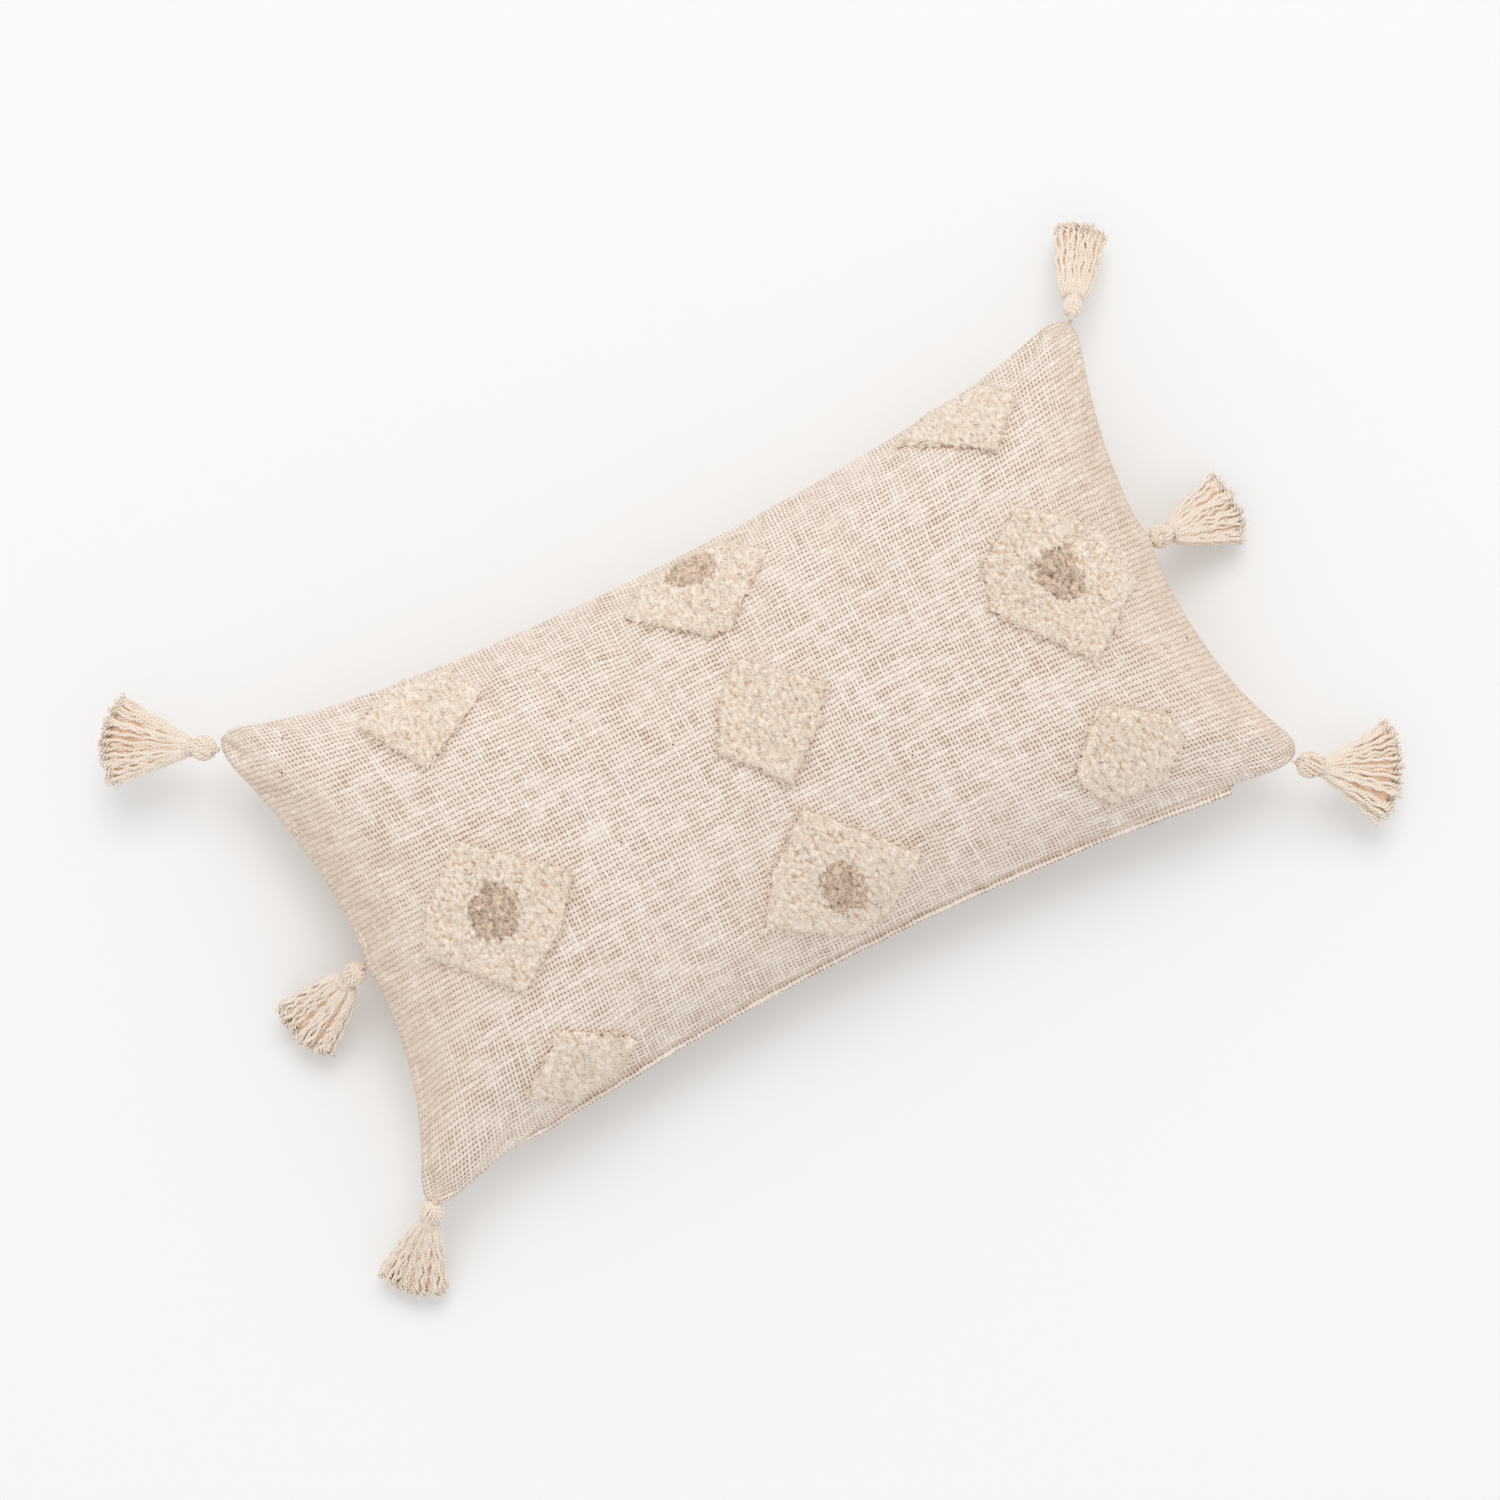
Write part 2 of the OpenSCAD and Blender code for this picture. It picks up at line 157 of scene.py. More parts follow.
class Value:
    """A value that a material's nodes work out, for use in sums and products."""

    def __init__(self, graph, socket):
        self.graph, self.socket = graph, socket

    def __add__(self, other):
        return self.graph.math("ADD", self, other)

    def __sub__(self, other):
        return self.graph.math("SUBTRACT", self, other)

    def __rsub__(self, other):
        return self.graph.math("SUBTRACT", other, self)

    def __mul__(self, other):
        return self.graph.math("MULTIPLY", self, other)


class Graph:
    """A material's node tree, with a method for each kind of node that the materials need."""

    def __init__(self, name):
        self.material = bpy.data.materials.new(name)
        self.material.use_nodes = True
        self.tree = self.material.node_tree
        self.shader = self.tree.nodes["Principled BSDF"]

    def node(self, kind, inputs, **settings):
        """A node whose inputs, by name or number, are fed with numbers, colours or values."""
        node = self.tree.nodes.new(kind)
        for key, value in settings.items():
            setattr(node, key, value)
        for key, value in inputs.items():
            self.feed(node.inputs[key], value)
        return node

    def feed(self, socket, value):
        if isinstance(value, Value):
            self.tree.links.new(value.socket, socket)
        else:
            socket.default_value = value

    def math(self, operation, *values):
        node = self.node("ShaderNodeMath", dict(enumerate(values)), operation=operation)
        return Value(self, node.outputs[0])

    def absolute(self, value):
        return self.math("ABSOLUTE", value)

    def step(self, value, low, high):
        """0 below low and 1 above high, smoothly."""
        inputs = dict(enumerate((value, low, high, 0.0, 1.0)))
        node = self.node("ShaderNodeMapRange", inputs, interpolation_type="SMOOTHSTEP")
        return Value(self, node.outputs[0])

    def attribute(self, name):
        """The three parts of a vector attribute."""
        whole = self.node("ShaderNodeAttribute", {}, attribute_name=name).outputs["Vector"]
        split = self.node("ShaderNodeSeparateXYZ", {0: Value(self, whole)})
        return [Value(self, part) for part in split.outputs]

    def position(self):
        return Value(self, self.node("ShaderNodeNewGeometry", {}).outputs["Position"])

    def vector(self, x, y, z):
        return Value(self, self.node("ShaderNodeCombineXYZ", {0: x, 1: y, 2: z}).outputs[0])

    def noise(self, vector, scale=1.0, detail=2.0):
        inputs = {"Vector": vector, "Scale": scale, "Detail": detail}
        return Value(self, self.node("ShaderNodeTexNoise", inputs).outputs["Fac"])

    def random(self, value):
        """One number from 0 to 1 for each value."""
        node = self.node("ShaderNodeTexWhiteNoise", {}, noise_dimensions="1D")
        self.feed(node.inputs["W"], value)
        return Value(self, node.outputs["Value"])

    def mix(self, factor, a, b, blend="MIX"):
        node = self.node("ShaderNodeMix", {}, data_type="RGBA", blend_type=blend)
        for key, value in (("Factor", factor), (6, colour(a)), (7, colour(b))):
            self.feed(node.inputs[key], value)
        return Value(self, node.outputs[2])

    def bump(self, height, distance):
        node = self.node("ShaderNodeBump", {"Height": height, "Distance": distance, "Strength": 1.0})
        self.feed(self.shader.inputs["Normal"], Value(self, node.outputs[0]))

    def finish(self, base, rough, sheen=0.0, metal=0.0):
        settings = {
            "Base Color": colour(base), "Roughness": rough, "Sheen Weight": sheen, "Sheen Roughness": 0.6,
            "Metallic": metal, "Specular IOR Level": 0.5 if metal else 0.2,
        }
        for name, value in settings.items():
            self.feed(self.shader.inputs[name], value)
        return self.material


def colour(value):
    """A colour with its alpha, or a value as it is."""
    return (*value, 1.0) if isinstance(value, tuple) and len(value) == 3 else value


def weave_material(name, thread, tan, gap, seed=(0.12, 0.08, 0.06)):
    """Plain weave in slub cotton. The attribute "thread" counts threads: x across the warp, y across
    the weft, so that each thread's middle is at a whole number, and z is how far the cloth leans
    towards the pillow's ends, where its weft lies closer and where painted shade darkens it. The holes
    between the threads are painted shade, in the dark gap colour."""
    g = Graph(name)
    u, v, slope = g.attribute("thread")
    # The threads wander sideways by up to about a third of their spacing
    drift_u = g.noise(g.vector(u * 0.16, v * 0.34, 11.0))
    drift_v = g.noise(g.vector(u * 0.34, v * 0.16, 17.0))
    u, v = u + (drift_u * 0.7 - 0.35), v + (drift_v * 0.7 - 0.35)
    warp, weft = g.math("ROUND", u), g.math("ROUND", v)
    off_u, off_v = g.absolute(u - warp), g.absolute(v - weft)
    # Each thread thickens and thins along its own length, and the whole cloth is closer in places
    slub = g.noise(g.vector(u * 0.13, weft * 3.7, 0.0), detail=3.0)
    streak = g.noise(g.vector(warp * 2.9, v * 0.13, 5.0), detail=3.0)
    snug = g.noise(g.vector(u * 0.11, v * 0.11, 9.0), detail=3.0) * 0.1 - 0.05
    weft_half = slub * 0.75 + (slope * 0.12 - 0.055) + snug
    warp_half = streak * 0.65 + (slope * 0.04 - 0.035) + snug
    past_u = g.step(off_u, warp_half - 0.06, warp_half + 0.1)
    past_v = g.step(off_v, weft_half - 0.06, weft_half + 0.1)
    hole = past_u * past_v
    # Warp and weft pass over each other in turn, and painted shade darkens a thread as it dips under the
    # next
    parity = g.math("FLOORED_MODULO", warp + weft, 2.0)
    under = parity * (off_v * off_v) + (1.0 - parity) * (off_u * off_u)
    weft_on_top = (1.0 - past_v) * g.math("MAXIMUM", past_u, parity)
    weft_tone = slub * 1.5 + (g.random(weft) * 0.22 - 0.86)
    warp_tone = streak * 1.3 + (g.random(warp) * 0.22 - 0.76)
    fibres = g.noise(g.vector(u * 5.0, v * 5.0, 0.0), detail=3.0)
    light = warp_tone + weft_on_top * (weft_tone - warp_tone) + (fibres * 0.8 + 0.29)
    # Painted shade: threads that dip under the next, and cloth that leans towards the ends, go towards the
    # tan colour
    paleness = light - (under * (slope * 1.2 + 1.3) + slope * 0.4)
    # Painted shade: the holes take the dark gap colour, less where the cloth leans and its weft lies closer
    base = g.mix(hole * (0.9 - slope * 0.4), g.mix(paleness, tan, thread), gap)
    # A dark seed fleck in one crossing out of some two thousand
    lot = g.random(g.math("MULTIPLY_ADD", warp, 0.731, weft * 3.17))
    fleck = 1.0 - g.step(off_u * off_u + off_v * off_v, 0.03, 0.09)
    base = g.mix(fleck * g.math("GREATER_THAN", lot, 0.9995), base, seed)
    g.bump(fibres * 0.3 + (1.0 - under * 3.0) - hole * 1.4, 0.3 * MM)
    return g.finish(base, 0.92, sheen=0.1)


def pile_material(name, tip, root, spread):
    """Cut yarn pile, with painted shade in its darker root colour at the strands' roots and in the mat's
    creases.
    The attribute "pile" is root to tip, then a number for the tuft and the strand.
    """
    g = Graph(name)
    along, tuft, strand = g.attribute("pile")
    tone = tuft * spread + (strand * (0.6 * spread + 0.04) + (1.0 - 1.2 * spread))
    tip_tone = g.mix(1.0, tip, g.vector(tone, tone, tone), "MULTIPLY")
    g.bump(g.noise(g.position(), 2600.0), 0.25 * MM)
    return g.finish(g.mix(g.step(along, 0.0, 0.75), root, tip_tone), 0.95, sheen=0.25)


def yarn_material(name, pale, deep, pitch):
    """Twisted cotton yarn, with painted shade in the grooves between its plies and on yarns deep in a
    bundle.
    The attribute "yarn" is metres along it, a number for the yarn, and how deep in its bundle it is, from 0
    to 1, which sets that painted shade."""
    g = Graph(name)
    along, number, bundle_shade = g.attribute("yarn")
    patch = g.noise(g.vector(along * 60.0, number * 40.0, 0.0), detail=3.0)
    twist = g.absolute(g.math("SINE", along * (2 * math.pi / pitch)))
    groove_shade = g.step(twist, 0.0, 0.7) * -0.45 + 0.3
    # Painted shade from the bundle's depth and the ply grooves, with tone that differs at random, go
    # towards the deep colour
    depth = bundle_shade * 0.6 + (number * 0.2 + patch * 0.15) + groove_shade
    g.bump(g.noise(g.position(), 3000.0), 0.24 * MM)
    return g.finish(g.mix(depth, pale, deep), 0.9, sheen=0.2)


def metal_material(name):
    """Satin plated metal."""
    g = Graph(name)
    grain = g.noise(g.position(), 1800.0, 3.0)
    g.bump(grain, 0.02 * MM)
    return g.finish(g.mix(grain, (0.5, 0.49, 0.47), (0.66, 0.65, 0.63)), grain * 0.2 + 0.25, metal=1.0)


def nylon_material(name):
    """Smooth cloudy monofilament."""
    g = Graph(name)
    grain = g.noise(g.position(), 900.0)
    return g.finish(g.mix(grain, (0.74, 0.69, 0.6), (0.82, 0.78, 0.7)), 0.45)


def felt_material(name, pale, deep, scale, height):
    """Unwoven fibres: casing cloth or loose fill."""
    g = Graph(name)
    fibres = g.noise(g.position(), scale, 4.0)
    g.bump(fibres, height)
    return g.finish(g.mix(fibres, deep, pale), 0.9, sheen=0.2)


# ================================================================ meshes

def new_mesh(name, points, faces):
    """A mesh of points, in an array of any shape, and of faces, as an array or a list of lists."""
    mesh = bpy.data.meshes.new(name)
    faces = faces if isinstance(faces, list) else faces.tolist()
    mesh.from_pydata(points.reshape(-1, 3).tolist(), [], faces)
    return mesh


def make_piece(name, points, faces, body, slot, replaces=(), smooth=True, **attributes):
    """A mesh piece on a body, in its slot's material, with a vector attribute for each keyword that is
    left."""
    mesh = new_mesh(name, points, faces)
    for key, values in attributes.items():
        layer = mesh.attributes.new(key, "FLOAT_VECTOR", "POINT")
        layer.data.foreach_set("vector", np.asarray(values, np.float32).ravel())
    mesh.polygons.foreach_set("use_smooth", np.full(len(mesh.polygons), smooth))
    mesh.materials.append(MATERIALS[slot])
    mesh.update()
    piece = put(name, mesh)
    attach(piece, body)
    if replaces:
        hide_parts(*replaces)
    return piece


def unit(vectors):
    """Vectors at a length of 1."""
    return vectors / np.maximum(np.linalg.norm(vectors, axis=-1, keepdims=True), 1e-12)


def cross_axes(paths):
    """Two axes across each of many paths, which are (paths, rings, 3)."""
    ahead = unit(np.gradient(paths, axis=1))
    steady = np.where(np.abs(ahead[:, :1, 2:3]) < 0.8, [[[0.0, 0.0, 1.0]]], [[[1.0, 0.0, 0.0]]])
    normal = unit(steady - ahead * (steady * ahead).sum(-1, keepdims=True))
    return np.cross(ahead, normal), normal


def tube_quads(count, rings, sides):
    """Quads of tubes and their end caps, for points that go by tube, then ring, then side."""
    side = np.arange(sides)
    ahead = (side + 1) % sides
    start = (np.arange(rings - 1) * sides)[:, None]
    walls = np.stack([start + side, start + ahead, start + sides + ahead, start + sides + side], -1)
    pairs = [[0, k, k + 1, k + 2] for k in range(1, sides - 2, 2)]
    last = (rings - 1) * sides
    caps = [[q[0], q[3], q[2], q[1]] for q in pairs] + [[last + k for k in q] for q in pairs]
    one = np.concatenate([walls.reshape(-1, 4), caps])
    return (np.arange(count)[:, None, None] * rings * sides + one).reshape(-1, 4)


def tubes(paths, radius, sides):
    """Points and quads of round tubes along many paths. The radius is a number or fits (paths, rings)."""
    count, rings = paths.shape[:2]
    across, normal = cross_axes(paths)
    turn = (np.arange(sides) * 2 * math.pi / sides)[:, None]
    wide = np.broadcast_to(np.asarray(radius, float), (count, rings))[..., None, None]
    round_it = np.cos(turn) * across[:, :, None] + np.sin(turn) * normal[:, :, None]
    return paths[:, :, None] + wide * round_it, tube_quads(count, rings, sides)


def fray(rings):
    """0 along a yarn until near its end, then up to 1 at the end."""
    return np.clip(np.linspace(0, 1, rings) * 8 - 7, 0, 1)


def plies(paths, yarn_r, pitch, frayed):
    """Paths of the two strands twisted round each path, which part at a frayed end, how far along it
    each of their points is, and the strands' radius."""
    step = np.linalg.norm(np.diff(paths, axis=1), axis=-1)
    along = np.concatenate([np.zeros((len(paths), 1)), np.cumsum(step, axis=1)], axis=1)
    across, normal = cross_axes(paths)
    apart = (0.5 + 0.9 * frayed * fray(paths.shape[1]))[:, None] * yarn_r
    made = []
    for phase in (0, 0.5):
        turn = ((along / pitch + phase) * 2 * math.pi)[..., None]
        made.append(paths + apart * (np.cos(turn) * across + np.sin(turn) * normal))
    return np.concatenate(made), np.concatenate([along] * 2), 0.56 * yarn_r


# ================================================================ the cover's surface

def pull_at(u, half, depth):
    """How far an arc, which is drawn in by depth at its middle, is drawn in at u along its chord."""
    r = (half * half + depth * depth) / (2 * depth)
    return depth - r + np.sqrt(r * r - u * u)


def half_x(t):
    """Half the pillow's length at a share t of its half width."""
    return HALF_L - pull_at(HALF_W * t, HALF_W, SHORT_PULL)


def half_y(s):
    """Half the pillow's width at a share s of its half length."""
    return HALF_W - pull_at(HALF_L * s, HALF_L, LONG_PULL)


def swell(s, t):
    """Height of the stuffed form over its seam, as a share of its height in the middle."""
    return np.sqrt(np.clip(1 - np.abs(s) ** END_POWER, 0, 1) * np.clip(1 - np.abs(t) ** SIDE_POWER, 0, 1))


def even_shares(reach, power, steepness):
    """Dense shares from 0 to 1 along a side's middle profile, and the cloth length that each is at, with
    its steep part counted by less than its length where the threads spread there."""
    share = 1 - (1 - np.linspace(0, 1, 4001)) ** 2
    height = CROWN * np.sqrt(1 - share ** power) * steepness
    length = np.concatenate([[0], np.cumsum(np.hypot(np.diff(share) * reach, np.diff(height)))])
    return share, length


SHARE_S, LENGTH_S = even_shares(HALF_L - SHORT_PULL, END_POWER, 0.5)
SHARE_T, LENGTH_T = even_shares(HALF_W - LONG_PULL, SIDE_POWER, 0.8)


def share_at(cell, cells, share, length):
    """The share of the side, from -1 to 1, at a place in the cloth's grid."""
    off = np.asarray(cell, float) / (cells / 2) - 1
    return np.sign(off) * np.interp(np.abs(off) * length[-1], length, share)


def cell_at(value, cells, share, length):
    """The place in the cloth's grid at a share of the side."""
    return (np.sign(value) * np.interp(np.abs(value), share, length) / length[-1] + 1) * cells / 2


def plan_to_cell(x, y):
    """The place in the cloth's grid above a place in plan."""
    s = np.zeros_like(x)
    t = np.zeros_like(y)
    for _ in range(10):
        s = np.clip(x / half_x(t), -1, 1)
        t = np.clip(y / half_y(s), -1, 1)
    return cell_at(s, CELLS_U, SHARE_S, LENGTH_S), cell_at(t, CELLS_V, SHARE_T, LENGTH_T)


def smooth_noise(u, v, seed, scale=1.0):
    """Gentle random height from -1 to 1 that changes over about one unit divided by scale."""
    rng = np.random.RandomState(seed)
    total = np.zeros(np.broadcast(u, v).shape)
    for _ in range(7):
        angle, phase = rng.uniform(0, 2 * math.pi, 2)
        rate = rng.uniform(0.6, 1.6) * scale
        total += np.sin((u * math.cos(angle) + v * math.sin(angle)) * rate + phase)
    return total / 7


def round_corners(s, t):
    """Shares of the sides with each square corner pressed into a quarter of a disc."""
    p = np.clip(1 - (1 - np.abs(s)) * HALF_L / CORNER_R, 0, 1)
    q = np.clip(1 - (1 - np.abs(t)) * HALF_W / CORNER_R, 0, 1)
    in_s = p * (1 - np.sqrt(1 - q * q / 2)) * CORNER_R / HALF_L
    in_t = q * (1 - np.sqrt(1 - p * p / 2)) * CORNER_R / HALF_W
    return s - np.sign(s) * in_s, t - np.sign(t) * in_t


def draw_out(x, y, s, t):
    """Draws out each corner, and the short sides' seams where their tassels are sewn in."""
    near = np.abs(s) ** 9 * np.abs(t) ** 5
    near = near * (2 - near)
    for (side_x, side_y), (out_x, out_y) in CORNER_DRAWN.items():
        here = near * (np.sign(s) == side_x) * (np.sign(t) == side_y)
        x, y = x + side_x * out_x * here, y + side_y * out_y * here
    x = x + LEFT_DRAWN_IN * (s < 0) * np.abs(s) ** 6 * (1 - t * t)
    for side in (-1, 1):
        off = (y - SIDE_TASSEL_Y[side]) / SIDE_DRAWN_REACH
        x = x + side * SIDE_DRAWN * np.exp(-off * off) * (np.sign(s) == side) * np.abs(s) ** 12
    return x, y


def zip_edge(s):
    """How far down the back panel's zip side starts, as a share of the half width."""
    to_end = np.clip((ZIP_END - np.abs(s) * HALF_L) / ZIP_CLOSE, 0, 1)
    drop = ZIP_RIM_DROP * to_end ** 2 * (3 - 2 * to_end)
    inside = 1 - (drop / BELLY) ** 2 / np.maximum(1 - np.abs(s) ** END_POWER, 1e-6)
    return np.clip(inside, 0, 1) ** (1 / SIDE_POWER)


def cover_point(i, j, side, inset=0.0, sink=0.0):
    """Points of the cover's skin above (side 1) or below (side -1) the seam, at places in its grid."""
    s = share_at(i, CELLS_U, SHARE_S, LENGTH_S)
    t = share_at(j, CELLS_V, SHARE_T, LENGTH_T)
    if side < 0 and inset == 0:
        t = np.where(t < 0, t * zip_edge(s), t)
    round_s, round_t = round_corners(s, t)
    x, y = draw_out(round_s * (half_x(round_t) - inset), round_t * (half_y(round_s) - inset), s, t)
    if side > 0:
        z = SEAM_Z + (CROWN - sink) * swell(s, t)
    else:
        z = np.maximum(sink, SEAM_Z - (BELLY - sink) * swell(s, t))
    return np.stack([x, y, z], -1)


def cloth_places(step=1):
    """Every step-th place in the cloth's grid, each way."""
    return np.meshgrid(np.arange(0, CELLS_U + 1, step), np.arange(0, CELLS_V + 1, step), indexing="ij")


def cells_from_rim(i, j):
    """How many of the cloth's cells a place is from the nearest edge."""
    return np.minimum(np.minimum(i, CELLS_U - i), np.minimum(j, CELLS_V - j))


def grid_quads(cells_i, cells_j, start=0, flip=False):
    """Quads of a grid whose points are numbered from start, row after row."""
    i, j = np.meshgrid(np.arange(cells_i), np.arange(cells_j), indexing="ij")
    a = start + i * (cells_j + 1) + j
    four = [a, a + cells_j + 1, a + cells_j + 2, a + 1]
    return np.stack(four[::-1] if flip else four, -1).reshape(-1, 4)


def grid_normals(points):
    """Normals at a grid's points."""
    return unit(np.cross(np.gradient(points, axis=0), np.gradient(points, axis=1)))


def rim_indices(cells_i, cells_j):
    """Numbers of the points round a grid's edge, in order."""
    wide = cells_j + 1
    return np.concatenate([
        np.arange(cells_i) * wide,
        cells_i * wide + np.arange(cells_j),
        np.arange(cells_i, 0, -1) * wide + cells_j,
        np.arange(cells_j, 0, -1),
    ])


def weave_relief(i, j):
    """Height of the threads over each other: high where one crosses over, low in the holes between."""
    warp, weft = i // 2, j // 2
    crossing = (i % 2 == 0) & (j % 2 == 0)
    hole = (i % 2 == 1) & (j % 2 == 1)
    over = (warp + weft) % 2 == 0
    slub = smooth_noise(i * 0.045, weft * 2.1, 5)
    relief = np.where(crossing, np.where(over, 0.75, 0.5 + 0.5 * np.clip(slub, 0, 1)), -0.05)
    relief = np.where(hole, -0.9 + 0.5 * np.clip(slub, 0, 1), relief)
    return relief * WEAVE_HEIGHT


# The cloth simulation: cells of the cloth's grid to one of its own, its length, and how far it may move
# a point
SIM_STEP = 4
SIM_FRAMES = 20
SIM_CAP = 6 * MM
# Creases that run in from each corner, and the lumps and puckers of the rest
CREASE_REACH = 62 * MM
CREASE_H = 2.4 * MM
LUMP_H = 1.6 * MM
PUCKER_H = 0.8 * MM


def stuffed_cover():
    """A short cloth simulation of the stuffed cover, its seam held, on a coarse grid: how far the front
    and back panels' points move out, less their general swelling."""
    cells = CELLS_U // SIM_STEP, CELLS_V // SIM_STEP
    i, j = cloth_places(SIM_STEP)
    # The inset, next to nothing, keeps the seam whole where the zip's gap would be
    skins = {side: cover_point(i, j, side, 0.001 * MM) for side in (1, -1)}
    whole = i.size
    faces = np.concatenate([grid_quads(*cells), grid_quads(*cells, whole, True)])
    link = np.arange(2 * whole)
    link[rim_indices(*cells) + whole] = rim_indices(*cells)
    mesh = new_mesh("stuffing", np.stack([skins[1], skins[-1]]), link[faces])
    trial = put("stuffing", mesh)
    trial.vertex_groups.new(name="seam").add(rim_indices(*cells).tolist(), 1.0, "REPLACE")
    cloth = trial.modifiers.new("cloth", "CLOTH").settings
    cloth.quality = 6
    cloth.mass = 0.3
    cloth.tension_stiffness = cloth.compression_stiffness = 20
    cloth.shear_stiffness = 8
    cloth.bending_stiffness = 0.3
    cloth.use_pressure = True
    cloth.uniform_pressure_force = 4
    cloth.vertex_group_mass = "seam"
    cloth.shrink_min = -0.02
    cloth.effector_weights.gravity = 0
    for number in range(1, SIM_FRAMES + 1):
        bpy.context.scene.frame_set(number)
    moved = trial.evaluated_get(bpy.context.evaluated_depsgraph_get()).data
    places = np.empty(len(moved.vertices) * 3, np.float32)
    moved.vertices.foreach_get("co", places)
    places = places.reshape(-1, 3)[link]
    bpy.data.objects.remove(trial)
    bpy.data.meshes.remove(mesh)
    bpy.context.scene.frame_set(1)
    offsets = {}
    for side, start in ((1, 0), (-1, whole)):
        skin = skins[side]
        shift = places[start:start + whole].reshape(skin.shape) - skin
        out = (shift * grid_normals(skin) * side).sum(-1)
        offsets[side] = SIM_CAP * np.tanh((out - blurred(out, 9)) / SIM_CAP)
    return offsets


def blurred(values, width):
    """Values of a grid, averaged over an odd number of points each way, twice."""
    def blur(line):
        return np.convolve(np.pad(line, width // 2, mode="edge"), np.ones(width) / width, "valid")

    for axis in (0, 1, 0, 1):
        values = np.apply_along_axis(blur, axis, values)
    return values


def cover_unevenness(i, j, side):
    """How far the stuffed cloth stands from the plain form: soft lumps, puckers along the seam, creases at
    the corners and what the cloth simulation gave."""
    s, t = i / (CELLS_U / 2) - 1, j / (CELLS_V / 2) - 1
    end_x, end_y = np.sign(s), np.sign(t)
    edge_s, edge_t = np.clip(1 - np.abs(s), 0, 1), np.clip(1 - np.abs(t), 0, 1)
    in_x, in_y = edge_s * HALF_L, edge_t * HALF_W
    lumps = smooth_noise(s * 6, t * 3, 11 + side, 1.3)
    puckers = smooth_noise(s * 40, end_y * 3, 21 + side) * np.exp(-(edge_t / 0.16) ** 2)
    puckers = puckers + smooth_noise(t * 22, end_x * 3, 31 + side) * np.exp(-(edge_s / 0.09) ** 2)
    bearing = np.arctan2(in_y, in_x + 1e-9)
    spokes = smooth_noise(bearing * 9, end_x * 3 + end_y * 5, 41 + side)
    reach = np.hypot(in_x, in_y)
    creases = spokes * np.exp(-(reach / CREASE_REACH) ** 2) * np.clip(reach / (15 * MM), 0, 1)
    settled = at_cells(STUFFED[side][..., None], i / SIM_STEP, j / SIM_STEP)[..., 0]
    from_seam = np.clip(np.minimum(edge_t * 16, edge_s * 30), 0, 1)
    return (lumps * LUMP_H + settled + creases * CREASE_H + puckers * PUCKER_H) * from_seam


def cover_grid(side):
    """The skin's points and outward normals on the cloth's whole grid, before its weave."""
    i, j = cloth_places()
    points = cover_point(i, j, side)
    normals = grid_normals(points) * side
    points = points + normals * cover_unevenness(i, j, side)[..., None]
    if side < 0:
        points[..., 2] = np.maximum(points[..., 2], 0)
    return i, j, points, grid_normals(points) * side


def at_cells(grid, i, j):
    """Values of a grid between its points."""
    i = np.clip(i, 0, grid.shape[0] - 1.001)
    j = np.clip(j, 0, grid.shape[1] - 1.001)
    a, b = i.astype(int), j.astype(int)
    p, q = (i - a)[..., None], (j - b)[..., None]
    low = grid[a, b] * (1 - q) + grid[a, b + 1] * q
    return low * (1 - p) + (grid[a + 1, b] * (1 - q) + grid[a + 1, b + 1] * q) * p


def shell_faces(cells_i, cells_j, step, side):
    """Faces of a closed shell: a fine outer grid, an inner grid with every step-th point, and the rim."""
    outer = rim_indices(cells_i, cells_j)
    fine = (cells_i + 1) * (cells_j + 1)
    coarse = cells_i // step, cells_j // step
    inner = rim_indices(*coarse) + fine
    k = np.arange(len(outer))
    near = inner[(2 * k + step) // (2 * step) % len(inner)]
    ahead = inner[(2 * k + 2 + step) // (2 * step) % len(inner)]
    strip = np.stack([outer, near, ahead, np.roll(outer, -1)], -1)
    if side < 0:
        strip = strip[:, ::-1]
    rim = [list(dict.fromkeys(quad)) for quad in strip.tolist()]
    grids = [grid_quads(cells_i, cells_j, 0, side < 0), grid_quads(*coarse, fine, side > 0)]
    return grids[0].tolist() + grids[1].tolist() + rim


def make_panel(name, node, side, grid):
    """One cover panel: the woven face, and a plainer back one cloth's thickness inside it."""
    i, j, points, normals = grid
    rim_fade = np.clip(cells_from_rim(i, j) / 4, 0, 1)
    face = points + normals * (weave_relief(i, j) * rim_fade)[..., None]
    if side < 0:
        face[..., 2] = np.maximum(face[..., 2], 0)
    every = slice(None, None, BACKING_STEP)
    backing = points[every, every] - normals[every, every] * CLOTH_T
    # z, how far the cloth leans towards the pillow's ends, also sets the weave's painted shade there
    threads = np.stack([i / 2, j / 2, np.abs(normals[..., 0])], -1)
    panel = make_piece(
        name,
        np.concatenate([face.reshape(-1, 3), backing.reshape(-1, 3)]),
        shell_faces(CELLS_U, CELLS_V, BACKING_STEP, side),
        "cushion", "cover_weave", [node],
        thread=np.concatenate([threads.reshape(-1, 3), threads[every, every].reshape(-1, 3)]),
    )


# ================================================================ insert

INSERT_INSET = 15 * MM
CASING_SINK = 2.2 * MM
CASING_T = 0.5 * MM
INSERT_STEP = 4
FILL_LUMP_H = 0.8 * MM


def insert_grid(side, inset, sink):
    """Points and outward normals of a skin that lies inside the cover."""
    i, j = cloth_places(INSERT_STEP)
    points = cover_point(i, j, side, inset, sink)
    return i, j, points, grid_normals(points) * side


def make_casing(name, node, side):
    """One panel of the insert's casing."""
    points, normals = insert_grid(side, INSERT_INSET, CASING_SINK)[2:]
    inner = points - normals * CASING_T
    cells = CELLS_U // INSERT_STEP, CELLS_V // INSERT_STEP
    casing = make_piece(
        name, np.concatenate([points.reshape(-1, 3), inner.reshape(-1, 3)]),
        shell_faces(*cells, 1, side), "cushion", "insert_casing", [node],
    )
    flat = (CLOTH_SIZE[0] - 2 * INSERT_INSET, CLOTH_SIZE[1] - 2 * INSERT_INSET)


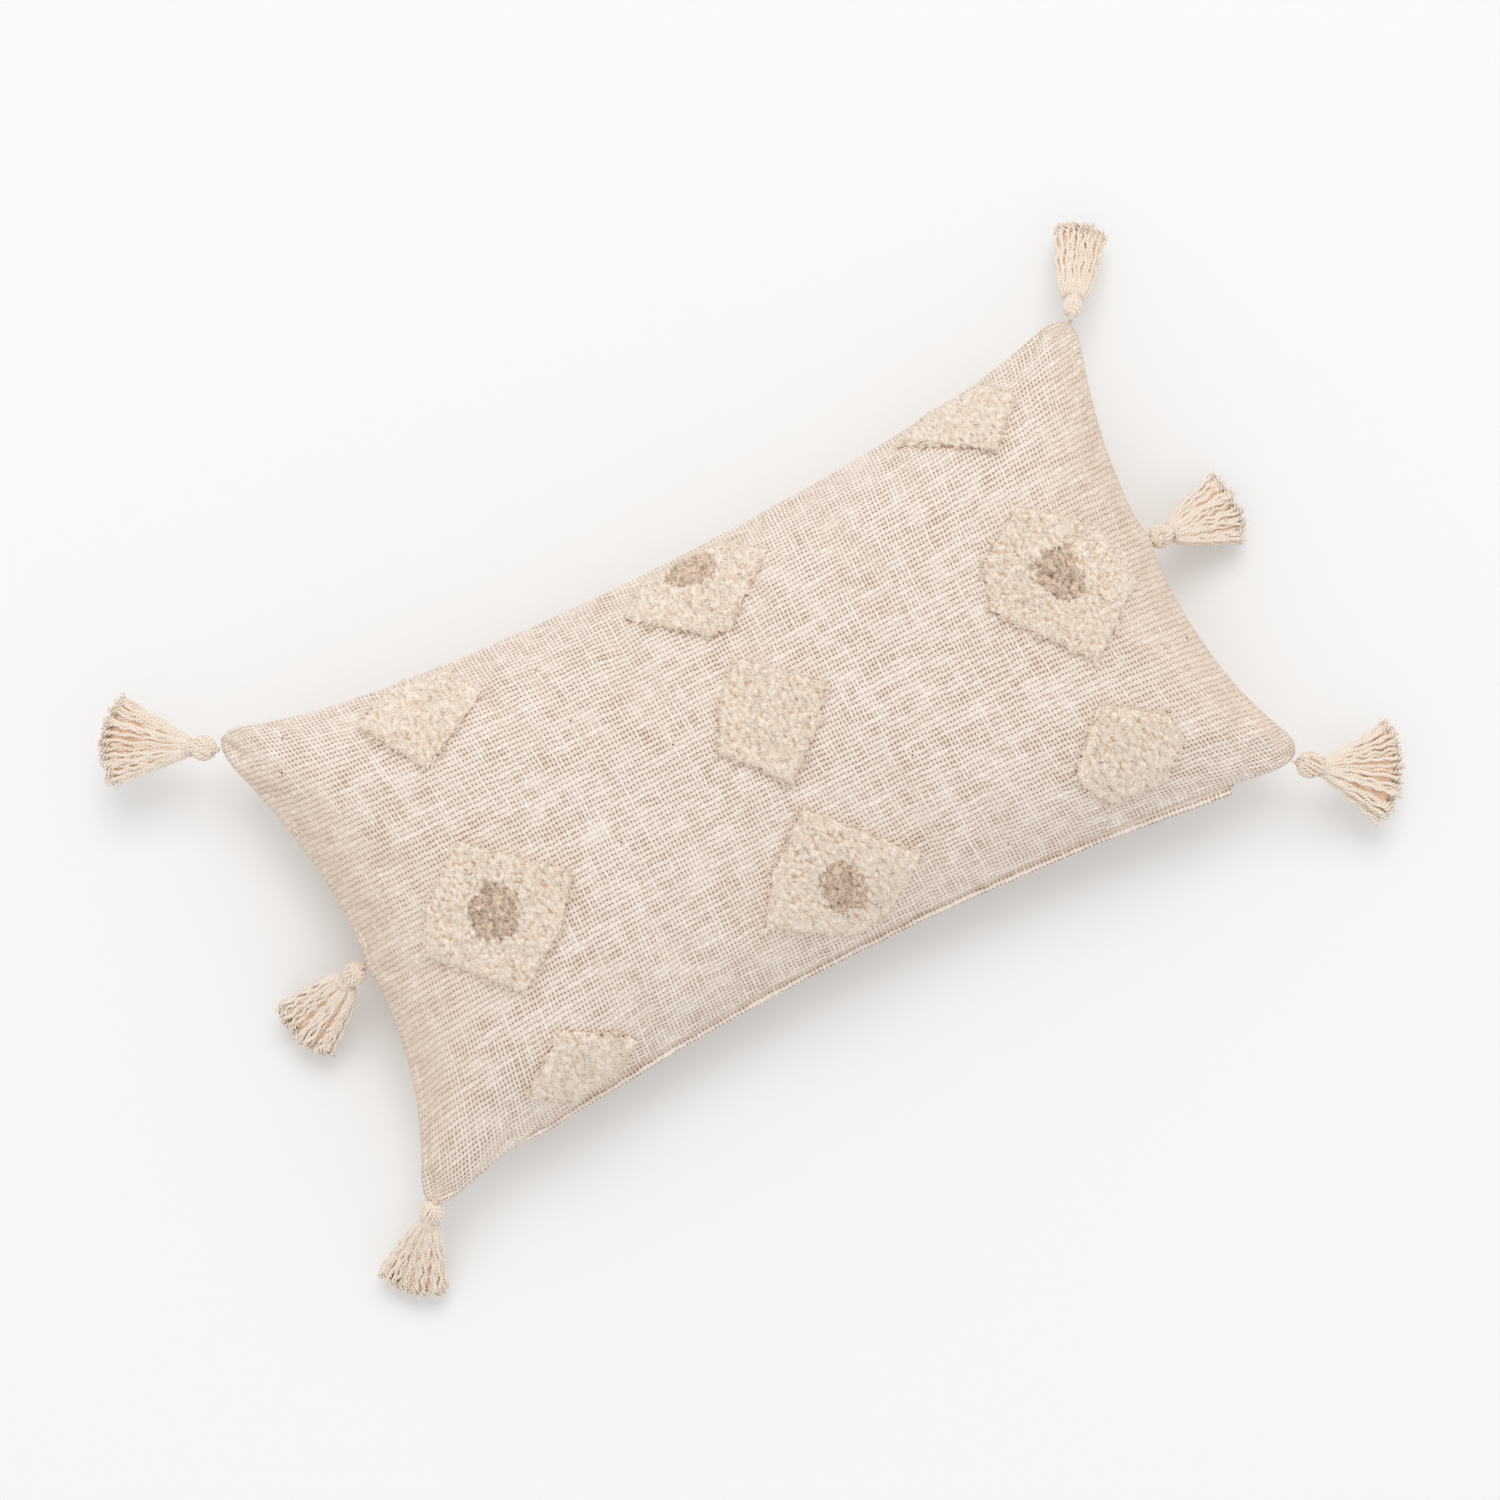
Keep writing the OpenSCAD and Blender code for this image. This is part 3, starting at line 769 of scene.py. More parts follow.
def make_fill():
    """The insert's loose fibre, as one softly lumpy body."""
    cells = CELLS_U // INSERT_STEP, CELLS_V // INSERT_STEP
    layers, faces = [], []
    for side in (1, -1):
        i, j, points, normals = insert_grid(side, INSERT_INSET + 2 * CASING_T, CASING_SINK + 2 * CASING_T)
        fade = np.clip(cells_from_rim(i, j) / 16, 0, 1)
        lumps = (smooth_noise(i * 0.13, j * 0.13, 50 + side) - 1) * fade * FILL_LUMP_H
        faces += grid_quads(*cells, len(layers) and points[..., 0].size, side < 0).tolist()
        layers.append((points + normals * lumps[..., None]).reshape(-1, 3))
    fill = make_piece(
        "fibre_filling", np.concatenate(layers), faces, "cushion", "fibre_fill", ["fibre_fill"]
    )
    merge_close_points(fill)


def merge_close_points(piece):
    """Join the two halves of a closed body along their rim."""
    work = bmesh.new()
    work.from_mesh(piece.data)
    bmesh.ops.remove_doubles(work, verts=work.verts, dist=0.01 * MM)
    work.to_mesh(piece.data)
    work.free()


# ================================================================ tufted pile

# Corners of each motif in plan, in millimetres, and its centre spot: x, y, half width, half depth
MOTIFS = {
    "rear_right": ([(161, 127), (209, 95), (236, 121), (222, 137), (182, 134)], None),
    "right": ([(160, 10), (205, -44), (246, -11), (241, 31), (204, 60), (170, 39)], (207, 12, 12, 17)),
    "front_right": ([(160, -98), (176, -122), (210, -124), (232, -107), (229, -90), (195, -66)], None),
    "rear": ([(-35, 106), (8, 71), (20, 71), (60, 105), (40, 122), (-12, 122)], (15, 112, 15, 8)),
    "centre": ([(-20, 8), (10, -28), (42, -2), (55, 18), (14, 55), (-5, 37)], None),
    "front": ([(-42, -96), (5, -122), (30, -119), (60, -98), (10, -42), (-26, -70)], (10, -93, 14, 14)),
    "rear_left": ([(-205, 121), (-178, 77), (-130, 104), (-142, 127), (-178, 132)], None),
    "left": (
        [(-228, -20), (-185, -66), (-148, -42), (-128, -15), (-180, 32), (-215, 5)], (-180, -16, 16, 16),
    ),
    "front_left": ([(-212, -121), (-190, -135), (-160, -131), (-138, -120), (-178, -93)], None),
}
PILE_H = 6.3 * MM
# How much of the height is a packed mat, and its grid
MAT_SHARE = 0.84
MAT_STEP = 0.75 * MM
# Tufts, the strands of each, and how far in from its outline a motif's pile rises to its full height
ROW_GAP = 2.9 * MM
TUFT_GAP = 2.6 * MM
STRANDS = 9
STRAND_R = 0.42 * MM
EDGE_BAND = 4.5 * MM
# Cells of the cloth's grid to a metre of cloth, each way
DENSITY_U = CELLS_U / (2 * LENGTH_S[-1])
DENSITY_V = CELLS_V / (2 * LENGTH_T[-1])


def depth_inside(x, y, corners):
    """Distance in from a closed outline, below 0 outside it."""
    corners = np.asarray(corners, float) * MM
    inside = np.zeros(x.shape, bool)
    nearest = np.full(x.shape, 1e9)
    for a, b in zip(corners, np.roll(corners, -1, axis=0)):
        edge = b - a
        share = np.clip(((x - a[0]) * edge[0] + (y - a[1]) * edge[1]) / (edge @ edge), 0, 1)
        nearest = np.minimum(nearest, np.hypot(x - a[0] - share * edge[0], y - a[1] - share * edge[1]))
        rises = (a[1] > y) != (b[1] > y)
        slope = edge[0] / edge[1] if edge[1] else 0
        inside ^= rises & (x < a[0] + (y - a[1]) * slope)
    return np.where(inside, nearest, -nearest)


def pile_zones(base, corners, spot, seed):
    """Which places are in a motif's cream pile and which in its centre, both with ragged outlines."""
    x, y = base[..., 0], base[..., 1]
    ragged = smooth_noise(x, y, seed, 450) * 2.4 + smooth_noise(x, y, seed + 3, 1500) * 1.4
    inside = depth_inside(x, y, corners) > ragged * MM
    if not spot:
        return inside, inside & False
    across, deep = (x / MM - spot[0]) / spot[2], (y / MM - spot[1]) / spot[3]
    uneven = smooth_noise(x, y, seed + 1, 300) * 0.25 + smooth_noise(x, y, seed + 2, 900) * 0.15
    centre = np.hypot(across, deep) < 1 + uneven
    return inside & ~centre, inside & centre


def pile_edge(base, corners):
    """How far up the pile stands by its outline alone, from 0 to 1."""
    edge = np.clip(depth_inside(base[..., 0], base[..., 1], corners) / EDGE_BAND, 0, 1)
    return np.sqrt(np.clip(1 - (1 - edge) ** 2, 0.02, 1))


def clumps(base, tufts, heights):
    """How far up the clumps of pile stand, from 0 in a crease to 1, round the tufts' roots."""
    flat = base.reshape(-1, 3)[:, :2]
    best = np.zeros(len(flat))
    for first in range(0, len(flat), 2000):
        part = flat[first:first + 2000]
        off = np.hypot(part[:, None, 0] - tufts[:, 0], (part[:, None, 1] - tufts[:, 1]) * 0.8)
        dome = heights - (off / (0.62 * ROW_GAP)) ** 2 * 0.6
        best[first:first + 2000] = dome.max(1)
    return np.clip(best, 0, 1).reshape(base.shape[:-1])


def motif_places(corners, step_u, step_v):
    """Places in the cloth's grid over the part of it that a motif spans, some distances apart."""
    i, j = plan_to_cell(*(np.array(corners, float).T * MM))
    along_u = np.arange(i.min() - 3, i.max() + 3, step_u * DENSITY_U)
    along_v = np.arange(j.min() - 3, j.max() + 3, step_v * DENSITY_V)
    return np.meshgrid(along_u, along_v, indexing="ij")


def tuft_roots(corners, rng):
    """Places of tufts in the cloth's grid, in wandering rows along the warp."""
    rows, along = motif_places(corners, ROW_GAP, TUFT_GAP)
    row_step, tuft_step = ROW_GAP * DENSITY_U, TUFT_GAP * DENSITY_V
    along = along + (np.arange(len(rows)) % 2)[:, None] * tuft_step / 2
    wander = smooth_noise(rows * 0.11, along * 0.16, 8)
    rows = rows + (rng.normal(0, 0.24, rows.shape) + wander) * row_step
    along = along + rng.normal(0, 0.28, rows.shape) * tuft_step
    return rows.ravel(), along.ravel()


def pile_strands(base, up, side_u, side_v, outward, edge, full, rng):
    """Curved strands of a set of tufts: paths, radii, and the numbers that colour them."""
    count = len(base)

    def each(values):
        return np.repeat(values, STRANDS, axis=0)

    turn = rng.uniform(0, 2 * math.pi, (count, 1)) + np.arange(STRANDS) * 2 * math.pi / STRANDS
    spread = rng.uniform(0.3, 1.35, (count, STRANDS)) * MM
    off_u, off_v = (np.cos(turn) * spread).ravel()[:, None], (np.sin(turn) * spread).ravel()[:, None]
    low = MAT_SHARE * PILE_H * full[:, None] - 1.3 * MM
    high = PILE_H * (0.55 + 0.45 * full[:, None]) * rng.uniform(0.86, 1.02, (count, 1))
    root = each(base + up * np.maximum(low, 0)) + each(side_u) * off_u + each(side_v) * off_v
    rise = each(np.maximum(high - np.maximum(low, 0), 1 * MM)) * rng.uniform(0.6, 1.0, (count * STRANDS, 1))
    lean_u, lean_v = rng.normal(0, 0.8, (2, count, 1)) * MM
    lean = each(side_u * lean_u + side_v * lean_v + outward * (edge[:, None] ** 2 * 1.8 * MM))
    own_u, own_v = rng.normal(0, 0.65, (2, count * STRANDS, 1)) * MM
    lean = lean + each(side_u) * own_u + each(side_v) * own_v
    share = np.linspace(0, 1, 4)[None, :, None]
    paths = root[:, None] + each(up)[:, None] * rise[:, None] * share ** 0.9 + lean[:, None] * share ** 1.5
    wide = STRAND_R * np.array([1.0, 1.1, 1.05, 0.6]) * rng.uniform(0.75, 1.15, (count * STRANDS, 1))
    tuft, strand = each(rng.uniform(0, 1, (count, 1))), rng.uniform(0, 1, (count * STRANDS, 1))
    # Painted shade: the first number runs from root to tip, and the pile's root colour darkens each
    # strand's lower part
    numbers = np.stack(np.broadcast_arrays(0.15 + 0.85 * share[..., 0], tuft, strand), -1)
    points, quads = tubes(paths, wide, 4)
    return points, quads, np.repeat(numbers[:, :, None], 4, axis=2)


def slab_faces(keep):
    """Faces of a closed slab over the cells that a mask keeps. Its lower points follow its upper ones."""
    wide = keep.shape[1] + 1
    lower = (keep.shape[0] + 1) * wide
    start = np.arange(keep.shape[0])[:, None] * wide + np.arange(keep.shape[1])
    quad = np.stack([start, start + wide, start + wide + 1, start + 1], -1)
    faces = [quad[keep], quad[keep][:, ::-1] + lower]
    around = np.pad(keep, 1)
    for edge, (di, dj) in enumerate([(0, -1), (1, 0), (0, 1), (-1, 0)]):
        beyond = around[1 + di:around.shape[0] - 1 + di, 1 + dj:around.shape[1] - 1 + dj]
        rim = quad[keep & ~beyond]
        p, q = rim[:, edge], rim[:, (edge + 1) % 4]
        faces.append(np.stack([q, p, p + lower, q + lower], -1))
    return np.concatenate(faces)


def pile_mat(grid, corners, spot, seed, centre, tufts, heights):
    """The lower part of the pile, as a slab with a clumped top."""
    i, j = motif_places(corners, MAT_STEP, MAT_STEP)
    base, up = at_cells(grid[2], i, j), unit(at_cells(grid[3], i, j))
    crease = clumps(base, tufts, heights)
    height = PILE_H * MAT_SHARE * pile_edge(base, corners) * (0.5 + 0.5 * crease)
    top = base + up * height[..., None]
    middle = (base[:-1, :-1] + base[1:, 1:]) / 2
    faces = slab_faces(pile_zones(middle, corners, spot, seed)[int(centre)])
    used, faces = np.unique(faces, return_inverse=True)
    points = np.concatenate([top.reshape(-1, 3), base.reshape(-1, 3)])[used]
    fuzz = np.random.RandomState(seed + 6).uniform(0, 1, (2, *crease.shape))
    # Painted shade: the mat's creases, and the slab's base, take the pile's darker root colour
    shade = np.stack([0.18 + 0.8 * crease, fuzz[0], fuzz[1]], -1).reshape(-1, 3)
    return points, faces.reshape(-1, 4), np.concatenate([shade, shade * [0, 1, 1]])[used]


def make_pile(name, node, grid, corners, spot, slot, seed, centre=False):
    """A motif's pile of one colour: a packed mat, and the free ends of its tufts over it."""
    rng = np.random.RandomState(seed)
    i, j = tuft_roots(corners, rng)
    tufts = at_cells(grid[2], i, j)
    heights = rng.uniform(0.68, 1.0, len(tufts))
    mat, mat_faces, mat_numbers = pile_mat(grid, corners, spot, seed, centre, tufts, heights)
    keep = pile_zones(tufts, corners, spot, seed)[int(centre)]
    i, j, base = i[keep], j[keep], tufts[keep]
    up = unit(at_cells(grid[3], i, j))
    side_u = unit(at_cells(grid[2], i + 2, j) - at_cells(grid[2], i - 2, j))
    full = pile_edge(base, corners) * (0.4 + 0.6 * heights[keep])
    edge = np.clip(1 - depth_inside(base[:, 0], base[:, 1], corners) / EDGE_BAND, 0, 1)
    outward = base * [1, 1, 0] - [*(np.mean(corners, axis=0) * MM), 0]
    outward = unit(outward - up * (outward * up).sum(-1, keepdims=True))
    points, quads, numbers = pile_strands(base, up, side_u, np.cross(up, side_u), outward, edge, full, rng)
    points = np.concatenate([points.reshape(-1, 3), mat])
    faces = np.concatenate([quads, mat_faces + len(points) - len(mat)])
    shades = np.concatenate([numbers.reshape(-1, 3), mat_numbers])
    make_piece(name, points, faces, "cushion", slot, [node], pile=shades)


def make_motif(name, corners, spot, grid, seed):
    """One motif of cream pile and, where it has one, its taupe centre."""
    make_pile("pile_" + name, "motif_" + name, grid, corners, spot, "pile_cream", seed)
    if spot:
        node = "motif_" + name + "_centre"
        make_pile("pile_" + name + "_centre", node, grid, corners, spot, "pile_taupe", seed, centre=True)


# ================================================================ folded lip and zip

LIP_STEPS = 320
# The fold's section: out over the zip below 0 and in from the seam above it, and up, in millimetres
LIP_SECTION = [
    (1.4, 0.3), (0.4, 0.75), (-0.6, 0.55), (-1.5, -0.1), (-2.4, 0.35), (-3.8, 0.6), (-5.2, 0.25),
    (-6.1, -0.6), (-5.9, -1.5), (-5.0, -2.1), (-3.0, -2.4), (-1.0, -2.4), (1.2, -2.2),
]
LIP_OUT = 6 * MM
# Over how much of its length the fold narrows, at its left end and at the notch on its right
LIP_END = (40 * MM, 3 * MM)
# Spacing of the fold's threads, along it and round it
LIP_THREADS = (2.54 * MM, 3.1 * MM)
# The coils' wire, its turns, and half their width and height
COIL_WIRE_R = 0.26 * MM
COIL_TURNS = 360
COIL_HALF_W = 0.72 * MM
COIL_HALF_H = 0.68 * MM
ZIP_CENTRE = Vector(joints["zip_travel"]["pos_m"])
LONG_R = HALF_L ** 2 / (2 * LONG_PULL) + LONG_PULL / 2


def on_seam(bearing, inwards, height):
    """Points at a bearing, in radians, round the far centre of the zip's side: inwards from the seam."""
    r = LONG_R + inwards
    x, y = r * np.sin(bearing), ZIP_CENTRE.y + r * np.cos(bearing)
    return np.stack([x, y, np.broadcast_to(height, x.shape)], -1)


def make_lip():
    """The fold of cloth that stands out over the zip, rolled at its edge, with a crease along the seam."""
    half = math.asin(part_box("zip_lip")[1].x / LONG_R)
    section = np.array(LIP_SECTION) * MM
    across, up = section.T
    bearing = np.linspace(-half, half, LIP_STEPS + 1)[:, None]
    along = bearing * LONG_R
    taper = np.clip((half * LONG_R - along) / LIP_END[1], 0.15, 1)
    taper = taper * np.clip((half * LONG_R + along) / LIP_END[0], 0.05, 1)
    wave = (smooth_noise(along * 120, 0, 71) * 0.7 + smooth_noise(along * 30, 0, 72) * 0.6) * MM
    out = np.where(across < 0, across * taper - wave * across / LIP_OUT, across)
    rise = up + smooth_noise(along * 70, 0, 73) * 0.35 * MM
    around = np.concatenate([[0], np.cumsum(np.linalg.norm(np.diff(section, axis=0), axis=1))])
    threads = np.broadcast_arrays(along / LIP_THREADS[0], around / LIP_THREADS[1], 0 * out)
    wide = len(section)
    last = LIP_STEPS * wide
    start = np.arange(LIP_STEPS) * wide
    faces = grid_quads(LIP_STEPS, wide - 1).tolist()
    faces += np.stack([start, start + wide - 1, start + 2 * wide - 1, start + wide], -1)[:, ::-1].tolist()
    faces += [list(range(wide)), list(range(last, last + wide))[::-1]]
    make_piece(
        "folded_lip", on_seam(bearing, out, SEAM_Z + rise), faces, "cushion", "cover_weave", ["zip_lip"],
        thread=np.stack(threads, -1),
    )


def make_coil(name, node, direction):
    """One side of the zip's chain: a monofilament wound in narrow turns along the tape's edge."""
    low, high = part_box(node)
    half = math.asin(high.x / LONG_R)
    rings = COIL_TURNS * 8 + 1
    turn = np.linspace(0, COIL_TURNS * 2 * math.pi, rings)
    inwards = -0.1 * MM + COIL_HALF_W * np.cos(turn)
    height = (low.z + high.z) / 2 + direction * 0.1 * MM + COIL_HALF_H * np.sin(turn)
    path = on_seam(np.linspace(-half, half, rings), inwards, height)
    points, quads = tubes(path[None], COIL_WIRE_R, 5)
    make_piece(name, points, quads, "cushion", "zip_coil", [node])


def make_tape_end(name, side):
    """The ends of the two tapes, joined across the gap past a stop."""
    low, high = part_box("zip_tape_lower")[1].z - 1 * MM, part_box("zip_tape_upper")[0].z + 1 * MM
    along = np.linspace(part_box("zip_top_stop")[0].x, TAPE_END - 0.3 * MM, 7)
    inwards = np.array([1.5, 2.4, 2.4, 1.5]) * MM
    points = on_seam(side * np.arcsin(along / LONG_R)[:, None], inwards, [low, low, high, high])
    quads = tube_quads(1, len(along), len(inwards))
    make_piece(name, points, quads[:, ::side], "cushion", "zip_tape", smooth=False)


def finish_cad(nodes, slot, bevel=0.0):
    """A CAD piece whose shape is right keeps it, with its edges eased and a better material."""
    for node in nodes:
        piece = frame["nodes"][node]
        piece.data.materials.clear()
        piece.data.materials.append(MATERIALS[slot])
        if bevel:
            ease = piece.modifiers.new("ease", "BEVEL")
            ease.width = bevel
            ease.segments = 3
            ease.limit_method = "ANGLE"


# ================================================================ tassels

HEAD_AT = 7.6 * MM
NECK_R = 5 * MM
NECK_AT = 18.8 * MM
TASSEL_L = 72 * MM
SKIRT_L = TASSEL_L - NECK_AT
SKIRT_T = 14 * MM
# Radius of the skirt's packed middle where it leaves the neck
CORE_R = 3.2 * MM
YARN_R = 1.32 * MM
YARN_PITCH = 5 * MM
THREAD_PITCH = 2.5 * MM
# The yarns' fold round the loop's bow: its radius, the sides of the bow it lies at, and its yarn's radius
FOLD_R = 1.85 * MM
FOLD_SIDES = np.array([-1.05, 0, 1.05]) * MM
FOLD_YARN_R = 0.6 * MM
# The thread wound round the neck, and the cord of the loops
BIND_TURNS = 4.2
BIND_R = 0.62 * MM
BIND_FROM = NECK_AT - 3.4 * MM
BIND_TO = NECK_AT - 0.8 * MM
CORD_R = 0.68 * MM
LOOP_HALF_W = 2.6 * MM
# Half of a loop's outline, from its knot to the bow's middle: shares of its reach and of its half width
LOOP_SIDE = [(-0.8, 0), (0.4, 0.48), (0.85, 1), (1, 0.6), (1, 0)]
# Half the width of the skirt's end, power of its spread, radius of the head, turns of its swirl, skew,
# and how far the yarns are slid up over the bow, in millimetres
TASSELS = {
    "rear_right": (16.5, 0.42, 5.6, 0.06, 0.1, 6.0),
    "right": (25, 0.6, 7.2, 0.05, 0.1, 3.0),
    "front_right": (35, 0.85, 8.2, 0.12, 0.5, 5.5),
    "rear_left": (31, 0.8, 7.6, 0.35, 0.0, 7.5),
    "left": (23, 0.5, 7.0, 0.12, 0.1, 8.0),
    "front_left": (24, 0.7, 7.0, 0.04, -0.1, 4.0),
}


def tassel_frame(name, slide):
    """Where a tassel hangs: its bow, and the axes down it, across it and out of its upper side."""
    joint = joints["swing_" + name]
    bearing = math.atan2(joint["axis"][0], -joint["axis"][1])
    droop = math.radians(sum(joint["range_deg"]) / 2)
    level = math.cos(droop)
    down = np.array([math.cos(bearing) * level, math.sin(bearing) * level, -math.sin(droop)])
    across = np.array([-math.sin(bearing), math.cos(bearing), 0])
    slid = np.array(joint["pos_m"]) - down * slide * MM
    return slid, np.stack([down, across, np.cross(down, across)])


def placed(local, bow, axes):
    """Points given along a tassel's or a loop's own axes, put where it hangs."""
    return bow + local @ axes


def skirt_paths(half, power, skew, rng, count=96, rings=50):
    """Wavy yarns that leave the neck together and fan out to uneven ends, in the tassel's own frame,
    and how deep in the bundle each is, which sets its painted shade."""
    k = np.arange(count)
    r, phi = np.sqrt((k + 0.5) / count), k * math.pi * (3 - math.sqrt(5)) + rng.uniform(0, 0.4, count)
    q_y, q_z = r * np.cos(phi), r * np.sin(phi)
    length = SKIRT_L * rng.uniform(0.94, 1.02, count)
    angle = math.asin(half * MM / SKIRT_L) * (q_y * 0.95 + skew * 0.3) + rng.normal(0, 0.02, count)
    share = np.linspace(0, 1, rings)
    open_y = share ** power
    close = (NECK_R - YARN_R) * (1 - share) ** 2
    x = NECK_AT - 3 * MM + share * (3 * MM + length[:, None] * np.cos(angle[:, None] * open_y))
    y = q_y[:, None] * close + length[:, None] * np.sin(angle)[:, None] * open_y
    z = q_z[:, None] * (close + (SKIRT_T / 2 - YARN_R) * share ** 0.7)
    for axis in (y, z):
        rate = rng.uniform(2.5, 5.5, (count, 1)) * 2 * math.pi
        small = rng.uniform(0.3, 0.9, (count, 1)) * MM
        axis += small * np.sin(rate * share + rng.uniform(0, 6.3, (count, 1))) * np.minimum(share * 2.5, 1)
        axis += rng.normal(0, 0.6, (count, 1)) * MM * share ** 2
    return np.stack([x, y, z], -1), np.clip(1.0 - 1.2 * r, 0, 1)


def head_paths(head_r, swirl, rng, count=16, rings=34):
    """Yarns laid side by side over the head, from the fold at the bow down into the neck."""
    r = head_r * MM - YARN_R * 0.7
    neck = NECK_R - YARN_R * 0.6
    polar = np.linspace(math.radians(14), math.pi - math.asin(neck / r), rings - 10)
    ball = np.stack([HEAD_AT - r * np.cos(polar), r * np.sin(polar)], -1)
    run = np.linspace(ball[-1, 0], NECK_AT + 1 * MM, 11)[1:]
    line = np.concatenate([ball, np.stack([run, np.full(10, neck)], -1)])
    share = np.linspace(0, 1, rings)
    turn = (np.arange(count)[:, None] / count + swirl * share) * 2 * math.pi
    turn = turn + 0.06 * np.sin(share * 7 + rng.uniform(0, 6.3, (count, 1)))
    out = line[:, 1] * (1 + rng.uniform(-0.05, 0.06, (count, 1)))
    return np.stack([line[:, 0] + 0 * turn, out * np.cos(turn), out * np.sin(turn)], -1)


def fold_paths(rings=20):
    """The yarns where they fold round the loop's bow."""
    turn = np.linspace(-0.5, 0.5, rings - 6) * math.pi
    lead = np.linspace(4.5 * MM, 0.3 * MM, 3)
    x = np.concatenate([lead, -FOLD_R * np.cos(turn), lead[::-1]])
    z = np.concatenate([np.full(3, -FOLD_R), FOLD_R * np.sin(turn), np.full(3, FOLD_R)])
    return np.stack(np.broadcast_arrays(x, FOLD_SIDES[:, None], z), -1)


def yarn_mesh(groups, bow, axes, rng):
    """Twisted yarns along local paths, as points, quads and numbers for their colour."""
    points, quads, numbers, start = [], [], [], 0
    for paths, bundle_shade, yarn_r, pitch, frayed in groups:
        paths = placed(paths, bow, axes)
        paths[..., 2] = np.maximum(paths[..., 2], 1.5 * YARN_R)
        strands, along, strand_r = plies(paths, yarn_r, pitch, frayed)
        rings = strands.shape[1]
        thin = 1 - 0.45 * frayed * fray(rings)
        made, faces = tubes(strands, np.broadcast_to(strand_r * thin, strands.shape[:2]), 6)
        number = np.tile(rng.uniform(0, 1, (len(paths), 1)), (2, rings))
        # How deep in its bundle a yarn is, for its painted shade
        depth = np.tile(np.broadcast_to(bundle_shade, len(paths))[:, None], (2, rings))
        points.append(made.reshape(-1, 3))
        quads.append(faces + start)
        row = np.stack([along, number, depth], -1)[:, :, None]
        numbers.append(np.repeat(row, 6, axis=2).reshape(-1, 3))
        start += len(points[-1])
    return np.concatenate(points), np.concatenate(quads), np.concatenate(numbers)


def core_mesh(head_r, half, power, skew, bow, axes):
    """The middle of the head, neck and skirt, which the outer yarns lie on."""
    # The core is painted shade: it is coloured all in the yarns' deep colour, filling the gaps between them
    x = np.linspace(2.6 * MM, NECK_AT + 2 * MM, 20)
    ball = np.sqrt(np.clip((head_r * MM) ** 2 - (x - HEAD_AT) ** 2, 0, None)) - 1.3 * MM
    radius = np.maximum(np.where(x < HEAD_AT, ball, np.maximum(ball, NECK_R - 1.5 * MM)), 0.4 * MM)
    path = np.stack([x, 0 * x, 0 * x], -1)
    head, head_quads = tubes(placed(path, bow, axes)[None], radius[None], 16)
    share = np.linspace(0, 0.9, 14)[:, None]
    turn = np.arange(20) * 2 * math.pi / 20
    angle = math.asin(half * MM / SKIRT_L) * (0.78 * np.cos(turn) + skew * 0.3)
    wide = share ** power
    close = CORE_R * (1 - share) ** 2
    x = NECK_AT - 1 * MM + share * SKIRT_L * np.cos(angle * wide)
    y = close * np.cos(turn) + SKIRT_L * np.sin(angle) * wide
    z = np.sin(turn) * (close + (SKIRT_T / 2 - CORE_R) * share ** 0.7)
    skirt = placed(np.stack([x, y, z], -1), bow, axes)
    skirt[..., 2] = np.maximum(skirt[..., 2], 2 * YARN_R)
    skirt_quads = tube_quads(1, len(share), len(turn)) + head[..., 0].size
    points = np.concatenate([head.reshape(-1, 3), skirt.reshape(-1, 3)])
    return points, np.concatenate([head_quads, skirt_quads])


def make_tassel(name, half, power, head_r, swirl, skew, slide, seed):
    """One tassel: its loop of cord, its yarns and the thread that binds them."""
    rng = np.random.RandomState(seed)
    bow, axes = tassel_frame(name, slide)
    groups = [
        (*skirt_paths(half, power, skew, rng), YARN_R, YARN_PITCH, 1.0),
        (head_paths(head_r, swirl, rng), 0.0, YARN_R, YARN_PITCH, 0.0),
        (fold_paths(), 0.2, FOLD_YARN_R, YARN_PITCH, 0.0),
    ]
    points, quads, numbers = yarn_mesh(groups, bow, axes, rng)
    core, core_quads = core_mesh(head_r, half, power, skew, bow, axes)
    make_piece(
        "yarns_" + name, np.concatenate([points, core]), np.concatenate([quads, core_quads + len(points)]),
        "tassel_" + name, "tassel_yarn", ["tassel_" + name + "_yarns"],
        # Painted shade: the core takes the deep yarn colour in full
        yarn=np.concatenate([numbers, np.tile([0.0, 0.5, 1.0], (len(core), 1))]),
    )
    make_binding(name, bow, axes, rng)
    make_loop(name, rng)


def make_binding(name, bow, axes, rng):
    """The thread wound round a tassel's neck."""
    turn = np.linspace(0, BIND_TURNS * 2 * math.pi, 110)
    down = np.linspace(BIND_FROM, BIND_TO, len(turn))
    out = NECK_R + 0.55 * MM + 0.1 * MM * np.sin(turn * 0.37)
    path = np.stack([down, out * np.cos(turn), out * np.sin(turn)], -1)
    points, quads, numbers = yarn_mesh([(path[None], 0.1, BIND_R, THREAD_PITCH, 0.0)], bow, axes, rng)
    node = "tassel_" + name + "_binding"
    make_piece("binding_" + name, points, quads, "tassel_" + name, "binding_thread", [node], yarn=numbers)


